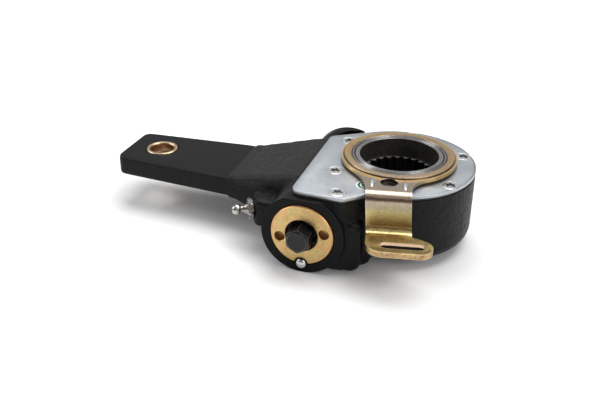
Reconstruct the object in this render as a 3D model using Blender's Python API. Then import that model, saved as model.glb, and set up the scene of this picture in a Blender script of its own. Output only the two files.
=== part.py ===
"""Automatic slack adjuster for an S-camshaft drum brake, with its control arm, rack and worm gear.

The origin lies on the camshaft's axis in the plane that the adjuster rests on. +Z runs up the splined bore,
the lever arm points to -X and the adjusting hexagon points to -Y. Lengths are metres.
"""

import math

import bmesh
import bpy
from mathutils import Matrix, Vector

mm = 0.001

# Clearances
seat_gap = 0.3 * mm
running_gap = 0.4 * mm
chamber_gap = 0.8 * mm
notch_gap = 0.6 * mm

# Worm and wheel
wheel_teeth = 22
wheel_rim = 3.8 * mm
worm_pitch_radius = 9.2 * mm
tooth_addendum = 2.2 * mm
tooth_dedendum = 2.6 * mm
wheel_width = 17.0 * mm
worm_thread_length = 34.0 * mm
worm_backlash = 0.3 * mm
worm_bore_gap = 0.6 * mm
pressure_angle = math.radians(20)

# Camshaft bore in the wheel's hub
spline_teeth = 26
spline_depth = 1.9 * mm
counterbore_step = 0.5 * mm
counterbore_depth = 11.0 * mm
counterbore_chamfer = 0.5 * mm
hub_radius = 24.2 * mm
hub_wall = 3.1 * mm
hub_floor_gap = 0.4 * mm

# Rack and drive gear
gear_teeth = 20
gear_module = 1.25 * mm
gear_tip_share = 0.8
gear_root_share = 1.2
gear_bore_gap = 1.5 * mm
gear_width = 7.0 * mm
gear_backlash = 0.15 * mm
rack_width = 4.8 * mm
rack_back = 1.7 * mm
rack_teeth = 4
peg_radius = 1.8 * mm

# Control disc and control arm
arm_travel = math.radians(20)
control_rest_angle = math.radians(11.5)
disc_overhang = 2.4 * mm
disc_foot_wall = 2.7 * mm
flange_thickness = 3.4 * mm
collar_wall = 1.3 * mm
sheet_thickness = 3.3 * mm
sheet_ring_width = 5.5 * mm
lip_width = 2.8 * mm
lip_height = 0.8 * mm
strap_width = 23.3 * mm
strap_offset = -4.55 * mm
strap_skew = 1.6 * mm
strap_gap = 3.1 * mm
strap_bend_radius = 5.0 * mm
foot_bend_radius = 3.8 * mm
foot_top = 28.0 * mm
foot_depth = 19.8 * mm
foot_lobe_reach = 10.5 * mm
foot_lobe_back = 3.7 * mm
foot_corner_radius = 10.0 * mm
foot_slot_margin = 6.7 * mm
foot_slot_length = 22.6 * mm
foot_slot_width = 5.8 * mm
neck_fillet_left = 38.0 * mm
neck_fillet_right = 16.0 * mm
neck_hole_radius = 4.5 * mm
neck_hole_margin = 0.8 * mm

# Casting
ring_wall = 8.9 * mm
ring_bottom = 4.8 * mm
ring_fillet = 7.0 * mm
lower_collar_radius = 30.0 * mm
lower_collar_chamfer = 0.8 * mm
barrel_wall = 5.0 * mm
barrel_chamfer = 1.0 * mm
barrel_neck_step = 0.7 * mm
front_rim_length = 7.0 * mm
block_corner_x = 8.0 * mm
block_front_step = 3.7 * mm
block_front_corner = 20.4 * mm
block_back_angle = math.radians(123.3)
block_front_angle = math.radians(-95.7)
block_floor_gap = 0.3 * mm
block_bottom_bevel = 6.0 * mm
block_corner_radius = 6.0 * mm
lug_right = 29.8 * mm
lug_top = 31.0 * mm
lug_corner_radius = 5.0 * mm

# Lever arm
arm_reach = 145.5 * mm
arm_end_margin = 20.4 * mm
arm_thickness = 12.0 * mm
arm_height = 25.5 * mm
arm_half_width = 20.6 * mm
arm_taper = 0.07
arm_centre_y = -1.3 * mm
arm_face_length = 70.0 * mm
arm_edge_radius = 2.2 * mm
arm_plan_radius = 4.0 * mm
arm_root_near = 33.4 * mm
arm_root_far = 26.0 * mm
arm_root_radius = 4.2 * mm
arm_root_curve = [(0.16, 0.07), (0.38, 0.33), (0.6, 0.6), (0.82, 0.86), (1.0, 1.0)]
cast_step = 0.6 * mm
bush_bore_radius = 7.1 * mm
bush_wall = 2.3 * mm
bush_stand = 0.5 * mm

# Worm line, measured forward from the camshaft's plane
gear_back_room = 3.0 * mm
spring_seat_stem = 1.5 * mm
rear_wall = 6.5 * mm
washer_play = 1.5 * mm
retainer_ledge = 2.1 * mm
retainer_thickness = 8.3 * mm
retainer_hole_gap = 1.1 * mm
retainer_stand = 0.7 * mm
pin_hole_radius = 2.9 * mm
pin_hole_inset = 3.7 * mm
pin_hole_depth = 3.2 * mm
pin_hole_angle = math.radians(12)
locking_pin_radius = 2.85 * mm
locking_pin_rim = 0.4 * mm
locking_pin_dome = 0.6
shaft_seal_wall = 3.2 * mm
shaft_radius = 7.5 * mm
journal_step = 0.6 * mm
hexagon_width = 12.0 * mm
hexagon_stand = 7.7 * mm
hexagon_length = 11.0 * mm
hexagon_chamfer = 1.2 * mm
hexagon_runout = 1.0 * mm
gear_hub_wall = 3.0 * mm
gear_hub_length = 6.0 * mm
clutch_spring_wire = 1.1 * mm
clutch_spring_turns = 4
clutch_flange_gap = 1.6 * mm
clutch_flange_thickness = 1.6 * mm
clutch_hub_length = 4.6 * mm
strong_spring_wire = 1.5 * mm
strong_spring_turns = 3
strong_spring_length = 9.9 * mm
strong_spring_gap = 2.0 * mm
plug_thickness = 4.6 * mm
plug_hexagon_width = 10.0 * mm

# Sheet metal, seals and screws
cover_thickness = 1.7 * mm
gasket_thickness = 0.6 * mm
washer_thickness = 0.9 * mm
washer_inset = 1.0 * mm
seal_section = 0.75 * mm
seal_groove_depth = 1.65 * mm
seal_groove_wall = 1.2 * mm
seal_play = 0.25 * mm
cover_seal_width = 1.3 * mm
screw_shank_radius = 1.8 * mm
screw_head_radius = 4.3 * mm
screw_length = 9.5 * mm
cover_screw_angles = [math.radians(a) for a in (29, 90, 151.6, 217.8, 274.6, 328)]
corner_screw_right = 15.8 * mm
corner_screw_inset = 6.2 * mm

# Grease nipple and its boss
nipple_turn = math.radians(28)
nipple_reach = 34.1 * mm
nipple_boss_setback = 13.1 * mm
nipple_boss_top = 30.2 * mm
nipple_boss_bottom = 14.4 * mm
nipple_face_half = 5.5 * mm
nipple_height = 22.8 * mm
nipple_shank_radius = 3.0 * mm
nipple_shank_length = 8.0 * mm
nipple_hexagon_width = 10.6 * mm
nipple_flange = 3.4 * mm
nipple_neck_radius = 1.8 * mm
nipple_neck_length = 3.2 * mm
nipple_ball_radius = 3.0 * mm
grease_drilling_radius = 1.5 * mm

# Places worked out from the sizes above
counterbore_radius = hub_radius - hub_wall
spline_major_radius = counterbore_radius - counterbore_step
spline_minor_radius = spline_major_radius - spline_depth
wheel_pitch_radius = hub_radius + wheel_rim
wheel_tip_radius = wheel_pitch_radius + tooth_addendum
wheel_root_radius = wheel_pitch_radius - tooth_dedendum
worm_tip_radius = worm_pitch_radius + tooth_addendum
worm_root_radius = worm_pitch_radius - tooth_dedendum
worm_pitch = 2 * math.pi * wheel_pitch_radius / wheel_teeth
worm_lead_angle = math.atan2(worm_pitch, 2 * math.pi * worm_pitch_radius)
worm_x = -(wheel_pitch_radius + worm_pitch_radius)
worm_bore_radius = worm_tip_radius + worm_bore_gap
journal_radius = worm_root_radius - journal_step
gear_pitch_radius = gear_module * gear_teeth / 2
gear_tip_radius = gear_pitch_radius + gear_tip_share * gear_module
gear_root_radius = gear_pitch_radius - gear_root_share * gear_module
gear_hub_radius = shaft_radius + gear_hub_wall
front_bore_radius = gear_tip_radius + gear_bore_gap
clutch_flange_radius = front_bore_radius - clutch_flange_gap
retainer_radius = front_bore_radius + retainer_ledge
retainer_hole_radius = shaft_radius + retainer_hole_gap
pin_hole_circle = retainer_hole_radius + pin_hole_inset
barrel_radius = retainer_radius + running_gap + barrel_wall
rear_bore_radius = barrel_radius - rear_wall
worm_height = barrel_radius
rack_pitch_height = worm_height + gear_pitch_radius
rack_root_height = rack_pitch_height + gear_root_share * gear_module
rack_tip_height = rack_pitch_height - gear_tip_share * gear_module
rack_top = rack_root_height + rack_back
teeth_bottom = worm_height - wheel_width / 2
teeth_top = worm_height + wheel_width / 2
chamber_floor = teeth_bottom - washer_thickness - 2 * seat_gap
chamber_radius = wheel_tip_radius + chamber_gap
disc_radius = wheel_tip_radius + disc_overhang
disc_chamber_radius = disc_radius + 0.75 * chamber_gap
disc_inner_radius = hub_radius + running_gap
disc_foot_radius = disc_inner_radius + disc_foot_wall
rack_line = disc_foot_radius + 2 * running_gap + rack_width / 2
flange_bottom = rack_top + running_gap
flange_top = flange_bottom + flange_thickness
deck = flange_top + 2 * seat_gap
gasket_bottom = deck + seat_gap
cover_bottom = gasket_bottom + gasket_thickness + seat_gap
cover_top = cover_bottom + cover_thickness
sheet_bottom = cover_top + seat_gap
sheet_top = sheet_bottom + sheet_thickness
hub_top = sheet_top + lip_height
collar_radius = disc_inner_radius + collar_wall
sheet_inner_radius = collar_radius + seat_gap
sheet_outer_radius = sheet_inner_radius + sheet_ring_width
cover_hole_radius = sheet_inner_radius + running_gap
ring_radius = disc_chamber_radius + ring_wall
screw_circle = (disc_chamber_radius + ring_radius) / 2
strap_inner = ring_radius + strap_gap
strap_outer = strap_inner + sheet_thickness
peg_start = -rack_line * math.tan(arm_travel / 2)
rack_travel = rack_line * arm_travel
gear_front = rack_line + gear_width / 2
gear_back = rack_line - gear_width / 2
worm_bore_front = gear_back - gear_back_room
gear_hub_front = gear_front + gear_hub_length
clutch_hub_back = gear_hub_front + seat_gap
clutch_flange_back = clutch_hub_back + clutch_hub_length
clutch_flange_front = clutch_flange_back + clutch_flange_thickness
front_washer_back = clutch_flange_front + seat_gap
front_washer_front = front_washer_back + washer_thickness
retainer_seat = front_washer_front + washer_play
retainer_back = retainer_seat + seat_gap
retainer_front = retainer_back + retainer_thickness
barrel_front = retainer_front - retainer_stand
block_front = barrel_front - block_front_step
bearing_front = worm_thread_length / 2 + 3 * seat_gap + washer_thickness
bearing_rear = bearing_front + 2 * washer_thickness
seat_front = bearing_rear + seat_gap
seat_flange = seat_front + spring_seat_stem
seat_rear = seat_flange + washer_thickness
worm_bore_rear = seat_flange - running_gap
plug_front = seat_rear + strong_spring_length + 2 * seat_gap
barrel_rear = plug_front + plug_thickness
hexagon_front = retainer_front + hexagon_stand
locking_pin_back = retainer_seat + 2 * seat_gap
arm_top = arm_height + arm_thickness / 2
arm_bottom = arm_height - arm_thickness / 2
arm_end = -(arm_reach + arm_end_margin)
bush_outer_radius = bush_bore_radius + bush_wall
block_left = worm_x - block_corner_x
nipple_boss_front = barrel_front - nipple_boss_setback
nipple_x = worm_x - nipple_reach
nipple_y = nipple_face_half * math.cos(nipple_turn) - nipple_boss_front
finishes = {
    "black_paint": ((0.02, 0.02, 0.022), 0.1, 0.42),
    "yellow_zinc": ((0.72, 0.52, 0.22), 1.0, 0.34),
    "galvanised": ((0.62, 0.64, 0.67), 1.0, 0.42),
    "steel": ((0.45, 0.45, 0.46), 1.0, 0.32),
    "black_oxide": ((0.045, 0.045, 0.05), 0.8, 0.45),
    "bronze": ((0.55, 0.33, 0.14), 1.0, 0.35),
    "bright_steel": ((0.78, 0.78, 0.8), 1.0, 0.2),
    "rubber": ((0.015, 0.015, 0.016), 0.0, 0.6),
    "gasket_paper": ((0.12, 0.12, 0.11), 0.0, 0.8),
}


def clear_scene():
    for obj in list(bpy.data.objects):
        bpy.data.objects.remove(obj, do_unlink=True)


def finish_material(name):
    """The material of this name, made the first time that it is asked for."""
    found = bpy.data.materials.get(name)
    if found:
        return found
    colour, metallic, roughness = finishes[name]
    made = bpy.data.materials.new(name)
    made.use_nodes = True
    shader = made.node_tree.nodes["Principled BSDF"]
    shader.inputs["Base Color"].default_value = (*colour, 1)
    shader.inputs["Metallic"].default_value = metallic
    shader.inputs["Roughness"].default_value = roughness
    return made


def axis_empty(name, location, rotation=(0, 0, 0)):
    """An empty on an axis that pieces share; its local Z runs along that axis."""
    empty = bpy.data.objects.new(name, None)
    empty.location = location
    empty.rotation_euler = rotation
    bpy.context.collection.objects.link(empty)
    return empty


def place(name, mesh, finish, parent=None, location=(0, 0, 0), rotation=(0, 0, 0)):
    """A visible sub-part: its mesh, shaded smooth with sharp edges kept, under its axis."""
    obj = bpy.data.objects.new(name, mesh)
    if not mesh.materials:
        mesh.materials.append(finish_material(finish))
    mesh.shade_smooth()
    mesh.set_sharp_from_angle(angle=math.radians(28))
    obj.parent = parent
    obj.location = location
    obj.rotation_euler = rotation
    bpy.context.collection.objects.link(obj)
    return obj


def combined(base, joined=(), bores=()):
    """The base mesh with solids joined to it and then bores cut from it, all in one local frame."""
    body = bpy.data.objects.new(base.name, base)
    bpy.context.collection.objects.link(body)
    guides = []
    for operation, meshes in (("UNION", joined), ("DIFFERENCE", bores)):
        if not meshes:
            continue
        group = bpy.data.collections.new(operation)
        bpy.context.scene.collection.children.link(group)
        for mesh in meshes:
            guide = bpy.data.objects.new(mesh.name, mesh)
            guide.hide_render = True
            guide.display_type = "WIRE"
            group.objects.link(guide)
            guides.append(guide)
        modifier = body.modifiers.new(operation, "BOOLEAN")
        modifier.operation = operation
        modifier.operand_type = "COLLECTION"
        modifier.collection = group
        modifier.solver = "EXACT"
    bpy.context.view_layer.update()
    evaluated = body.evaluated_get(bpy.context.evaluated_depsgraph_get())
    result = bpy.data.meshes.new_from_object(evaluated)
    groups = [modifier.collection for modifier in body.modifiers]
    for obj in [body] + guides:
        bpy.data.objects.remove(obj)
    for group in groups:
        bpy.data.collections.remove(group)
    result.name = base.name
    return result


def moved(mesh, location=(0, 0, 0), turn=0.0):
    """A copy of a mesh, turned about Z and then moved."""
    copy = mesh.copy()
    copy.transform(Matrix.Translation(location) @ Matrix.Rotation(turn, 4, "Z"))
    return copy


def along_worm(mesh):
    """A mesh made round the worm's own axis, laid where the worm lies: its Z runs forward to -Y."""
    copy = mesh.copy()
    lay = Matrix(((1, 0, 0, worm_x), (0, 0, -1, 0), (0, 1, 0, worm_height), (0, 0, 0, 1)))
    copy.transform(lay)
    return copy


def finished_mesh(name, bm):
    """A mesh of this name with its faces turned outwards."""
    bmesh.ops.recalc_face_normals(bm, faces=bm.faces)
    mesh = bpy.data.meshes.new(name)
    bm.to_mesh(mesh)
    bm.free()
    return mesh


def columns_mesh(name, column_at, columns):
    """A closed surface round the local Z axis. column_at(angle) gives (radius, height) points from end to end.

    Points that fall together, on the axis or where a thread runs out, become one vertex.
    """
    bm = bmesh.new()
    corners = {}

    def corner(angle, radius, height):
        x = radius * math.cos(angle)
        y = radius * math.sin(angle)
        key = (round(x / mm, 4), round(y / mm, 4), round(height / mm, 4))
        if key not in corners:
            corners[key] = bm.verts.new((x, y, height))
        return corners[key]

    grid = []
    for step in range(columns + 1):
        angle = 2 * math.pi * step / columns
        grid.append([corner(angle, radius, height) for radius, height in column_at(angle)])
    for left, right in zip(grid, grid[1:]):
        for row in range(len(left) - 1):
            around = [left[row], right[row], right[row + 1], left[row + 1]]
            face = list(dict.fromkeys(around))
            if len(face) > 2:
                bm.faces.new(face)
    return finished_mesh(name, bm)


def turned(name, profile, columns=24, hollow=True):
    """A profile of (radius, height) points turned round the local Z axis, closed on itself when hollow."""
    closed = profile + profile[:1] if hollow else profile
    return columns_mesh(name, lambda angle: closed, columns)


def disc(name, radius, low, high, columns=24):
    """A plain cylinder along the local Z axis."""
    return turned(name, [(0, low), (radius, low), (radius, high), (0, high)], columns, hollow=False)


def lofted(name, layers):
    """A solid through closed loops of equally many points, with flat ends."""
    bm = bmesh.new()
    rings = [[bm.verts.new(point) for point in layer] for layer in layers]
    count = len(rings[0])
    for low, high in zip(rings, rings[1:]):
        for i in range(count):
            j = (i + 1) % count
            bm.faces.new((low[i], low[j], high[j], high[i]))
    bm.faces.new(rings[0])
    bm.faces.new(rings[-1])
    return finished_mesh(name, bm)


def prism(name, outline, low, high):
    """An outline in the XY plane, extruded from low to high along Z."""
    return lofted(name, [[(x, y, z) for x, y in outline] for z in (low, high)])


def side_prism(name, outline, low, high):
    """An outline in the XZ plane, extruded from low to high along Y."""
    return lofted(name, [[(x, y, z) for x, z in outline] for y in (low, high)])


def bevel_edges(mesh, chosen, width, segments):
    """Rounds the edges for which chosen(edge) is true."""
    bm = bmesh.new()
    bm.from_mesh(mesh)
    edges = [edge for edge in bm.edges if chosen(edge)]
    bmesh.ops.bevel(bm, geom=edges, offset=width, segments=segments, profile=0.5, affect="EDGES")
    bm.to_mesh(mesh)
    bm.free()
    return mesh


def box(name, low, high):
    corners = [(low[0], low[1]), (high[0], low[1]), (high[0], high[1]), (low[0], high[1])]
    return prism(name, corners, low[2], high[2])


def arc(centre, radius, start, end, steps):
    """Points on a circle from one angle to another, both ends included."""
    angles = [start + (end - start) * i / steps for i in range(steps + 1)]
    return [(centre[0] + radius * math.cos(a), centre[1] + radius * math.sin(a)) for a in angles]


def circle(centre, radius, count):
    return arc(centre, radius, 0, 2 * math.pi, count)[:-1]


def rounded(before, corner, after, radius, steps=4):
    """The points that round a corner between two straight edges."""
    corner = Vector(corner)
    back = (Vector(before) - corner).normalized()
    ahead = (Vector(after) - corner).normalized()
    half = back.angle(ahead) / 2
    centre = corner + (back + ahead).normalized() * radius / math.sin(half)
    first = corner + back * radius / math.tan(half) - centre
    sweep = math.pi - 2 * half
    sign = 1 if first.cross(corner + ahead * radius / math.tan(half) - centre) > 0 else -1
    points = []
    for i in range(steps + 1):
        turn = Matrix.Rotation(sign * sweep * i / steps, 2)
        points.append(tuple(centre + turn @ first))
    return points


def grown(outline, distance):
    """An outline moved outwards by a distance; the outline runs anticlockwise."""
    moved = []
    for i, point in enumerate(outline):
        point = Vector(point)
        back = (point - Vector(outline[i - 1])).normalized()
        ahead = (Vector(outline[(i + 1) % len(outline)]) - point).normalized()
        middle = (back + ahead).normalized()
        outward = Vector((middle.y, -middle.x))
        moved.append(tuple(point + outward * distance / max(0.5, middle.dot(ahead))))
    return moved


def gear_outline(teeth, pitch_radius, tip_radius, root_radius, thickness, first_angle):
    """Involute teeth round the origin; first_angle is the middle of a tooth."""
    base_radius = pitch_radius * math.cos(pressure_angle)

    def half_angle(radius):
        slope = math.acos(min(1, base_radius / radius))
        lean = math.tan(pressure_angle) - pressure_angle
        return thickness / (2 * pitch_radius) + lean - (math.tan(slope) - slope)

    radii = [root_radius, pitch_radius, tip_radius]
    outline = []
    for tooth in range(teeth):
        middle = first_angle + 2 * math.pi * tooth / teeth
        flank = [(radius, half_angle(max(radius, base_radius))) for radius in radii]
        turned_back = [(radius, -half) for radius, half in flank]
        for radius, offset in turned_back + flank[::-1]:
            angle = middle + offset
            outline.append((radius * math.cos(angle), radius * math.sin(angle)))
    return outline


def hexagon_radius(angle, width):
    """Distance from the middle of a hexagon to its side, with a corner at 90 degrees."""
    sixth = math.pi / 3
    return width / 2 / math.cos((angle + sixth / 2) % sixth - sixth / 2)


def coil(name, radius, low, high, turns, section, steps_per_turn):
    """A wire wound round the local Z axis. section holds (radial, axial) points of the wire."""
    layers = []
    steps = turns * steps_per_turn
    for step in range(steps + 1):
        angle = 2 * math.pi * step / steps_per_turn
        height = low + (high - low) * step / steps
        layer = []
        for outwards, along in section:
            reach = radius + outwards
            layer.append((reach * math.cos(angle), reach * math.sin(angle), height + along))
        layers.append(layer)
    return lofted(name, layers)


def lobe_corners():
    """Corners of the lobe over the worm, from the ring's back round to the ring's front."""
    back = Vector((math.cos(block_back_angle), math.sin(block_back_angle))) * ring_radius
    run = Vector((-math.sin(block_back_angle), math.cos(block_back_angle)))
    back_left = back + run * (block_left - back.x) / run.x
    front_left = Vector((block_left, -block_front))
    front_right = Vector((worm_x + block_front_corner, -block_front - cast_step))
    front = Vector((math.cos(block_front_angle), math.sin(block_front_angle))) * ring_radius
    return [back, back_left, front_left, front_right, front]


def lobe_outline(corners, inset=0.0):
    """The lobe's free sides with its corners rounded."""
    back, back_left, front_left, front_right, front = corners
    radius = block_corner_radius - inset / 2
    points = rounded(back, back_left, front_left, radius)
    points += rounded(back_left, front_left, front_right, radius)
    points += rounded(front_left, front_right, front, radius / 2)
    return points


def cover_outline():
    """Plan of the cover: round over the wheel, with the lobe over the worm."""
    points = lobe_outline(lobe_corners())
    points += arc((0, 0), ring_radius, block_front_angle, block_back_angle, 30)
    return points


def block_layers():
    """The lobe's plan from the floor to the deck, drawn in at the floor by a round edge."""
    corners = [tuple(corner) for corner in lobe_corners()] + [(0, 0)]
    layers = []
    for turn in (0, 22.5, 45, 67.5, 90):
        angle = math.radians(turn)
        inset = block_bottom_bevel * (1 - math.sin(angle))
        height = block_floor_gap + block_bottom_bevel * (1 - math.cos(angle))
        drawn = [Vector(corner) for corner in grown(corners, -inset)]
        outline = lobe_outline(drawn[:5], inset) + [drawn[4], drawn[5], drawn[0]]
        layers.append([(x, y, height) for x, y in outline])
    layers.append([(x, y, deck) for x, y, _ in layers[-1]])
    return layers


def lug_layers():
    """Lower front corner of the casting beside the barrel, rounded at the floor and at its top."""
    right = worm_x + lug_right
    front = cast_step / 3 - block_front
    back = front + block_front - rack_line
    layers = []
    for turn in (0, 30, 60, 90):
        angle = math.radians(turn)
        inset = block_bottom_bevel * (1 - math.sin(angle))
        height = 2 * block_floor_gap + block_bottom_bevel * (1 - math.cos(angle))
        corners = [(worm_x, back), (worm_x, front + inset), (right - inset, front + inset), (right - inset, back)]
        outline = [corners[0], corners[1]]
        outline += rounded(corners[1], corners[2], corners[3], lug_corner_radius - inset / 2) + [corners[3]]
        layers.append([(x, y, height) for x, y in outline])
    side = [(x, y) for x, y, _ in layers[-1]]
    layers.append([(x, y, lug_top - arm_edge_radius) for x, y in side])
    layers.append([(x, y, lug_top) for x, y in grown(side, -arm_edge_radius)])
    return layers


def arm_sections():
    """Rounded rectangles along the lever arm, from its free end into the body."""

    def section(x, near, far, low, high, edge=arm_edge_radius):
        corners = [(near, low), (far, low), (far, high), (near, high)]
        points = []
        for i, corner in enumerate(corners):
            points += rounded(corners[i - 1], corner, corners[(i + 1) % 4], edge, 3)
        return [(x, y, z) for y, z in points]

    def flat_section(x, shrink=0.0, swell=0.0):
        half = arm_half_width + arm_taper * (x + arm_reach) - shrink
        near = arm_centre_y - half
        far = arm_centre_y + half
        return section(x, near, far, arm_bottom - swell, arm_top + swell)

    sections = []
    for turn in (0, 30, 60, 90):
        angle = math.radians(turn)
        along = arm_plan_radius * (1 - math.cos(angle))
        shrink = arm_plan_radius * (1 - math.sin(angle))
        sections.append(flat_section(arm_end + along, shrink))
    face_end = arm_end + arm_face_length
    sections.append(flat_section(face_end))
    sections.append(flat_section(face_end + cast_step, swell=cast_step))
    half = arm_half_width + arm_taper * (face_end + arm_reach)
    root_near = -arm_root_near
    root_far = arm_root_far
    root_low = ring_bottom + 2 * cast_step
    root_high = deck + cast_step
    for share, lift in arm_root_curve:
        x = face_end + share * (block_left - face_end)
        near = (arm_centre_y - half) * (1 - lift) + root_near * lift
        far = (arm_centre_y + half) * (1 - lift) + root_far * lift
        low = (arm_bottom - cast_step) * (1 - lift) + root_low * lift
        high = (arm_top + cast_step) * (1 - lift) + root_high * lift
        edge = arm_edge_radius * (1 - lift) + arm_root_radius * lift
        sections.append(section(x, near, far, low, high, edge))
    sections.append(section(worm_x, root_near, root_far, root_low, root_high, arm_root_radius))
    return sections


def ring_profile():
    """Half section of the casting's round body, from the axis out and up."""
    outer = arc((ring_radius - ring_fillet, ring_bottom + ring_fillet), ring_fillet, -math.pi / 2, 0, 4)
    chamfer_start = (lower_collar_radius - lower_collar_chamfer, 0)
    chamfer_end = (lower_collar_radius, lower_collar_chamfer)
    return [(0, 0), chamfer_start, chamfer_end, (lower_collar_radius, ring_bottom)] + outer + [
        (ring_radius, deck),
        (0, deck),
    ]


def barrel_profile():
    """Half section of the worm barrel, from its rear end to its front rim."""
    neck = barrel_radius - barrel_neck_step
    rim_back = barrel_front - front_rim_length
    rear_rim = front_rim_length - barrel_rear
    return [
        (0, -barrel_rear),
        (barrel_radius - barrel_chamfer, -barrel_rear),
        (barrel_radius, barrel_chamfer - barrel_rear),
        (barrel_radius, rear_rim),
        (neck, rear_rim + barrel_neck_step),
        (neck, rim_back - barrel_neck_step),
        (barrel_radius, rim_back),
        (barrel_radius, barrel_front - barrel_chamfer),
        (barrel_radius - barrel_chamfer, barrel_front),
        (0, barrel_front),
    ]


def chamber_profile():
    """Half section of the casting's inside: hub bore, seal groove, wheel chamber and disc chamber."""
    hub_bore = hub_radius + running_gap
    groove_radius = hub_radius + 2 * (seat_gap + seal_section) + seal_play
    groove_low = ring_bottom + seal_groove_wall
    groove_high = groove_low + 2 * (seal_section + seat_gap + seal_play)
    return [
        (0, -mm),
        (hub_bore, -mm),
        (hub_bore, groove_low),
        (groove_radius, groove_low),
        (groove_radius, groove_high),
        (hub_bore, groove_high),
        (hub_bore, chamber_floor),
        (chamber_radius, chamber_floor),
        (chamber_radius, teeth_top + chamber_gap),
        (disc_chamber_radius, teeth_top + chamber_gap),
        (disc_chamber_radius, deck + mm),
        (0, deck + mm),
    ]


def worm_line_profile():
    """Half section of the bore along the worm, from its rear mouth to its front mouth."""
    retainer_bore = retainer_radius + running_gap
    return [
        (0, -barrel_rear - mm),
        (rear_bore_radius, -barrel_rear - mm),
        (rear_bore_radius, -worm_bore_rear),
        (worm_bore_radius, -worm_bore_rear),
        (worm_bore_radius, worm_bore_front),
        (front_bore_radius, worm_bore_front),
        (front_bore_radius, retainer_seat),
        (retainer_bore, retainer_seat),
        (retainer_bore, barrel_front + mm),
        (0, barrel_front + mm),
    ]


def screw_places():
    places = [(screw_circle * math.cos(a), screw_circle * math.sin(a)) for a in cover_screw_angles]
    return places + [(worm_x + corner_screw_right, corner_screw_inset - block_front)]


def nipple_frame():
    """Places a mesh made along local Z in the nipple's hole, which runs inwards from the boss's slanted face."""
    inwards = Vector((math.cos(nipple_turn), math.sin(nipple_turn), 0))
    across = Vector((-math.sin(nipple_turn), math.cos(nipple_turn), 0))
    turn = Matrix(((0, across.x, inwards.x), (0, across.y, inwards.y), (-1, 0, 0)))
    return Matrix.Translation((nipple_x, nipple_y, nipple_height)) @ turn.to_4x4()


def nipple_boss():
    """Rounded boss beside the barrel, with a slanted face that the grease nipple screws into."""
    along = Vector((math.sin(nipple_turn), -math.cos(nipple_turn))) * nipple_face_half
    mouth = Vector((nipple_x, nipple_y))
    face_front = mouth + along
    face_back = mouth - along
    outline = [
        tuple(face_back),
        tuple(face_front),
        (worm_x, face_front.y),
        (worm_x, arm_centre_y),
        (face_back.x, arm_centre_y),
    ]
    boss = prism("nipple_boss", outline, nipple_boss_bottom, nipple_boss_top)
    return bevel_edges(boss, lambda edge: True, arm_edge_radius, 2)


def rack_pocket():
    """Slot that the rack slides in, open to the wheel's chamber and to the drive gear's bore."""
    half = rack_width / 2 + running_gap
    left = worm_x - rack_travel - 2 * gear_module - mm
    right = peg_start + rack_travel + peg_radius + mm
    low = (left, -rack_line - half, rack_tip_height - running_gap)
    high = (right, -rack_line + half, rack_top + seat_gap)
    return box("rack_pocket", low, high)


def grease_way():
    """Threaded hole for the nipple and the drilling behind it, which reaches the worm's bore."""
    hole = nipple_shank_radius + seat_gap
    depth = nipple_shank_length + seat_gap
    profile = [(0, -mm), (hole, -mm), (hole, depth), (grease_drilling_radius, depth + mm)]
    profile += [(grease_drilling_radius, nipple_reach), (0, nipple_reach)]
    way = turned("grease_way", profile, 12, hollow=False)
    way.transform(nipple_frame())
    return way


def make_housing():
    """The casting: ring, worm barrel, block between them, lever arm and nipple boss, then its bores."""
    ring = turned("housing", ring_profile(), 48, hollow=False)
    barrel = along_worm(turned("barrel", barrel_profile(), 40, hollow=False))
    solids = [lofted("block", block_layers()), lofted("lug", lug_layers()), lofted("arm", arm_sections())]
    solids += [barrel, nipple_boss()]
    bush_seat = disc("bush_seat", bush_outer_radius + seat_gap, -arm_height, arm_height, 32)
    screw_hole = disc("screw_hole", screw_shank_radius + seat_gap, cover_top - screw_length - mm, 2 * deck, 8)
    pin_bore = disc("pin_bore", locking_pin_radius + seat_gap, retainer_seat, barrel_front + mm, 14)
    bores = [
        prism("barrel_flat", grown(cover_outline(), running_gap), deck, 2 * deck),
        turned("chamber", chamber_profile(), 32, hollow=False),
        along_worm(turned("worm_line", worm_line_profile(), 28, hollow=False)),
        rack_pocket(),
        moved(bush_seat, (-arm_reach, arm_centre_y, arm_height)),
        along_worm(moved(pin_bore, (0, -retainer_radius, 0))),
        grease_way(),
    ]
    bores += [moved(screw_hole, (x, y, 0)) for x, y in screw_places()]
    place("housing", combined(ring, solids, bores), "black_paint")


def make_clevis_bush():
    """Bronze bush for the clevis pin, standing just proud of both arm faces."""
    half = arm_thickness / 2 + bush_stand
    chamfer = bush_wall / 4
    profile = [
        (bush_bore_radius, -half + chamfer),
        (bush_bore_radius + chamfer, -half),
        (bush_outer_radius, -half),
        (bush_outer_radius, half),
        (bush_bore_radius + chamfer, half),
        (bush_bore_radius, half - chamfer),
    ]
    place(
        "clevis_bush",
        turned("clevis_bush", profile, 32),
        "bronze",
        location=(-arm_reach, arm_centre_y, arm_height),
    )


def spline_outline():
    """Section of the splined bore: a groove and a tooth in turn."""
    outline = []
    for tooth in range(spline_teeth):
        middle = 2 * math.pi * tooth / spline_teeth
        quarter = math.pi / (2 * spline_teeth)
        for radius, offset in (
            (spline_minor_radius, -1.3 * quarter),
            (spline_major_radius, -0.7 * quarter),
            (spline_major_radius, 0.7 * quarter),
            (spline_minor_radius, 1.3 * quarter),
        ):
            outline.append((radius * math.cos(middle + offset), radius * math.sin(middle + offset)))
    return outline


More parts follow.
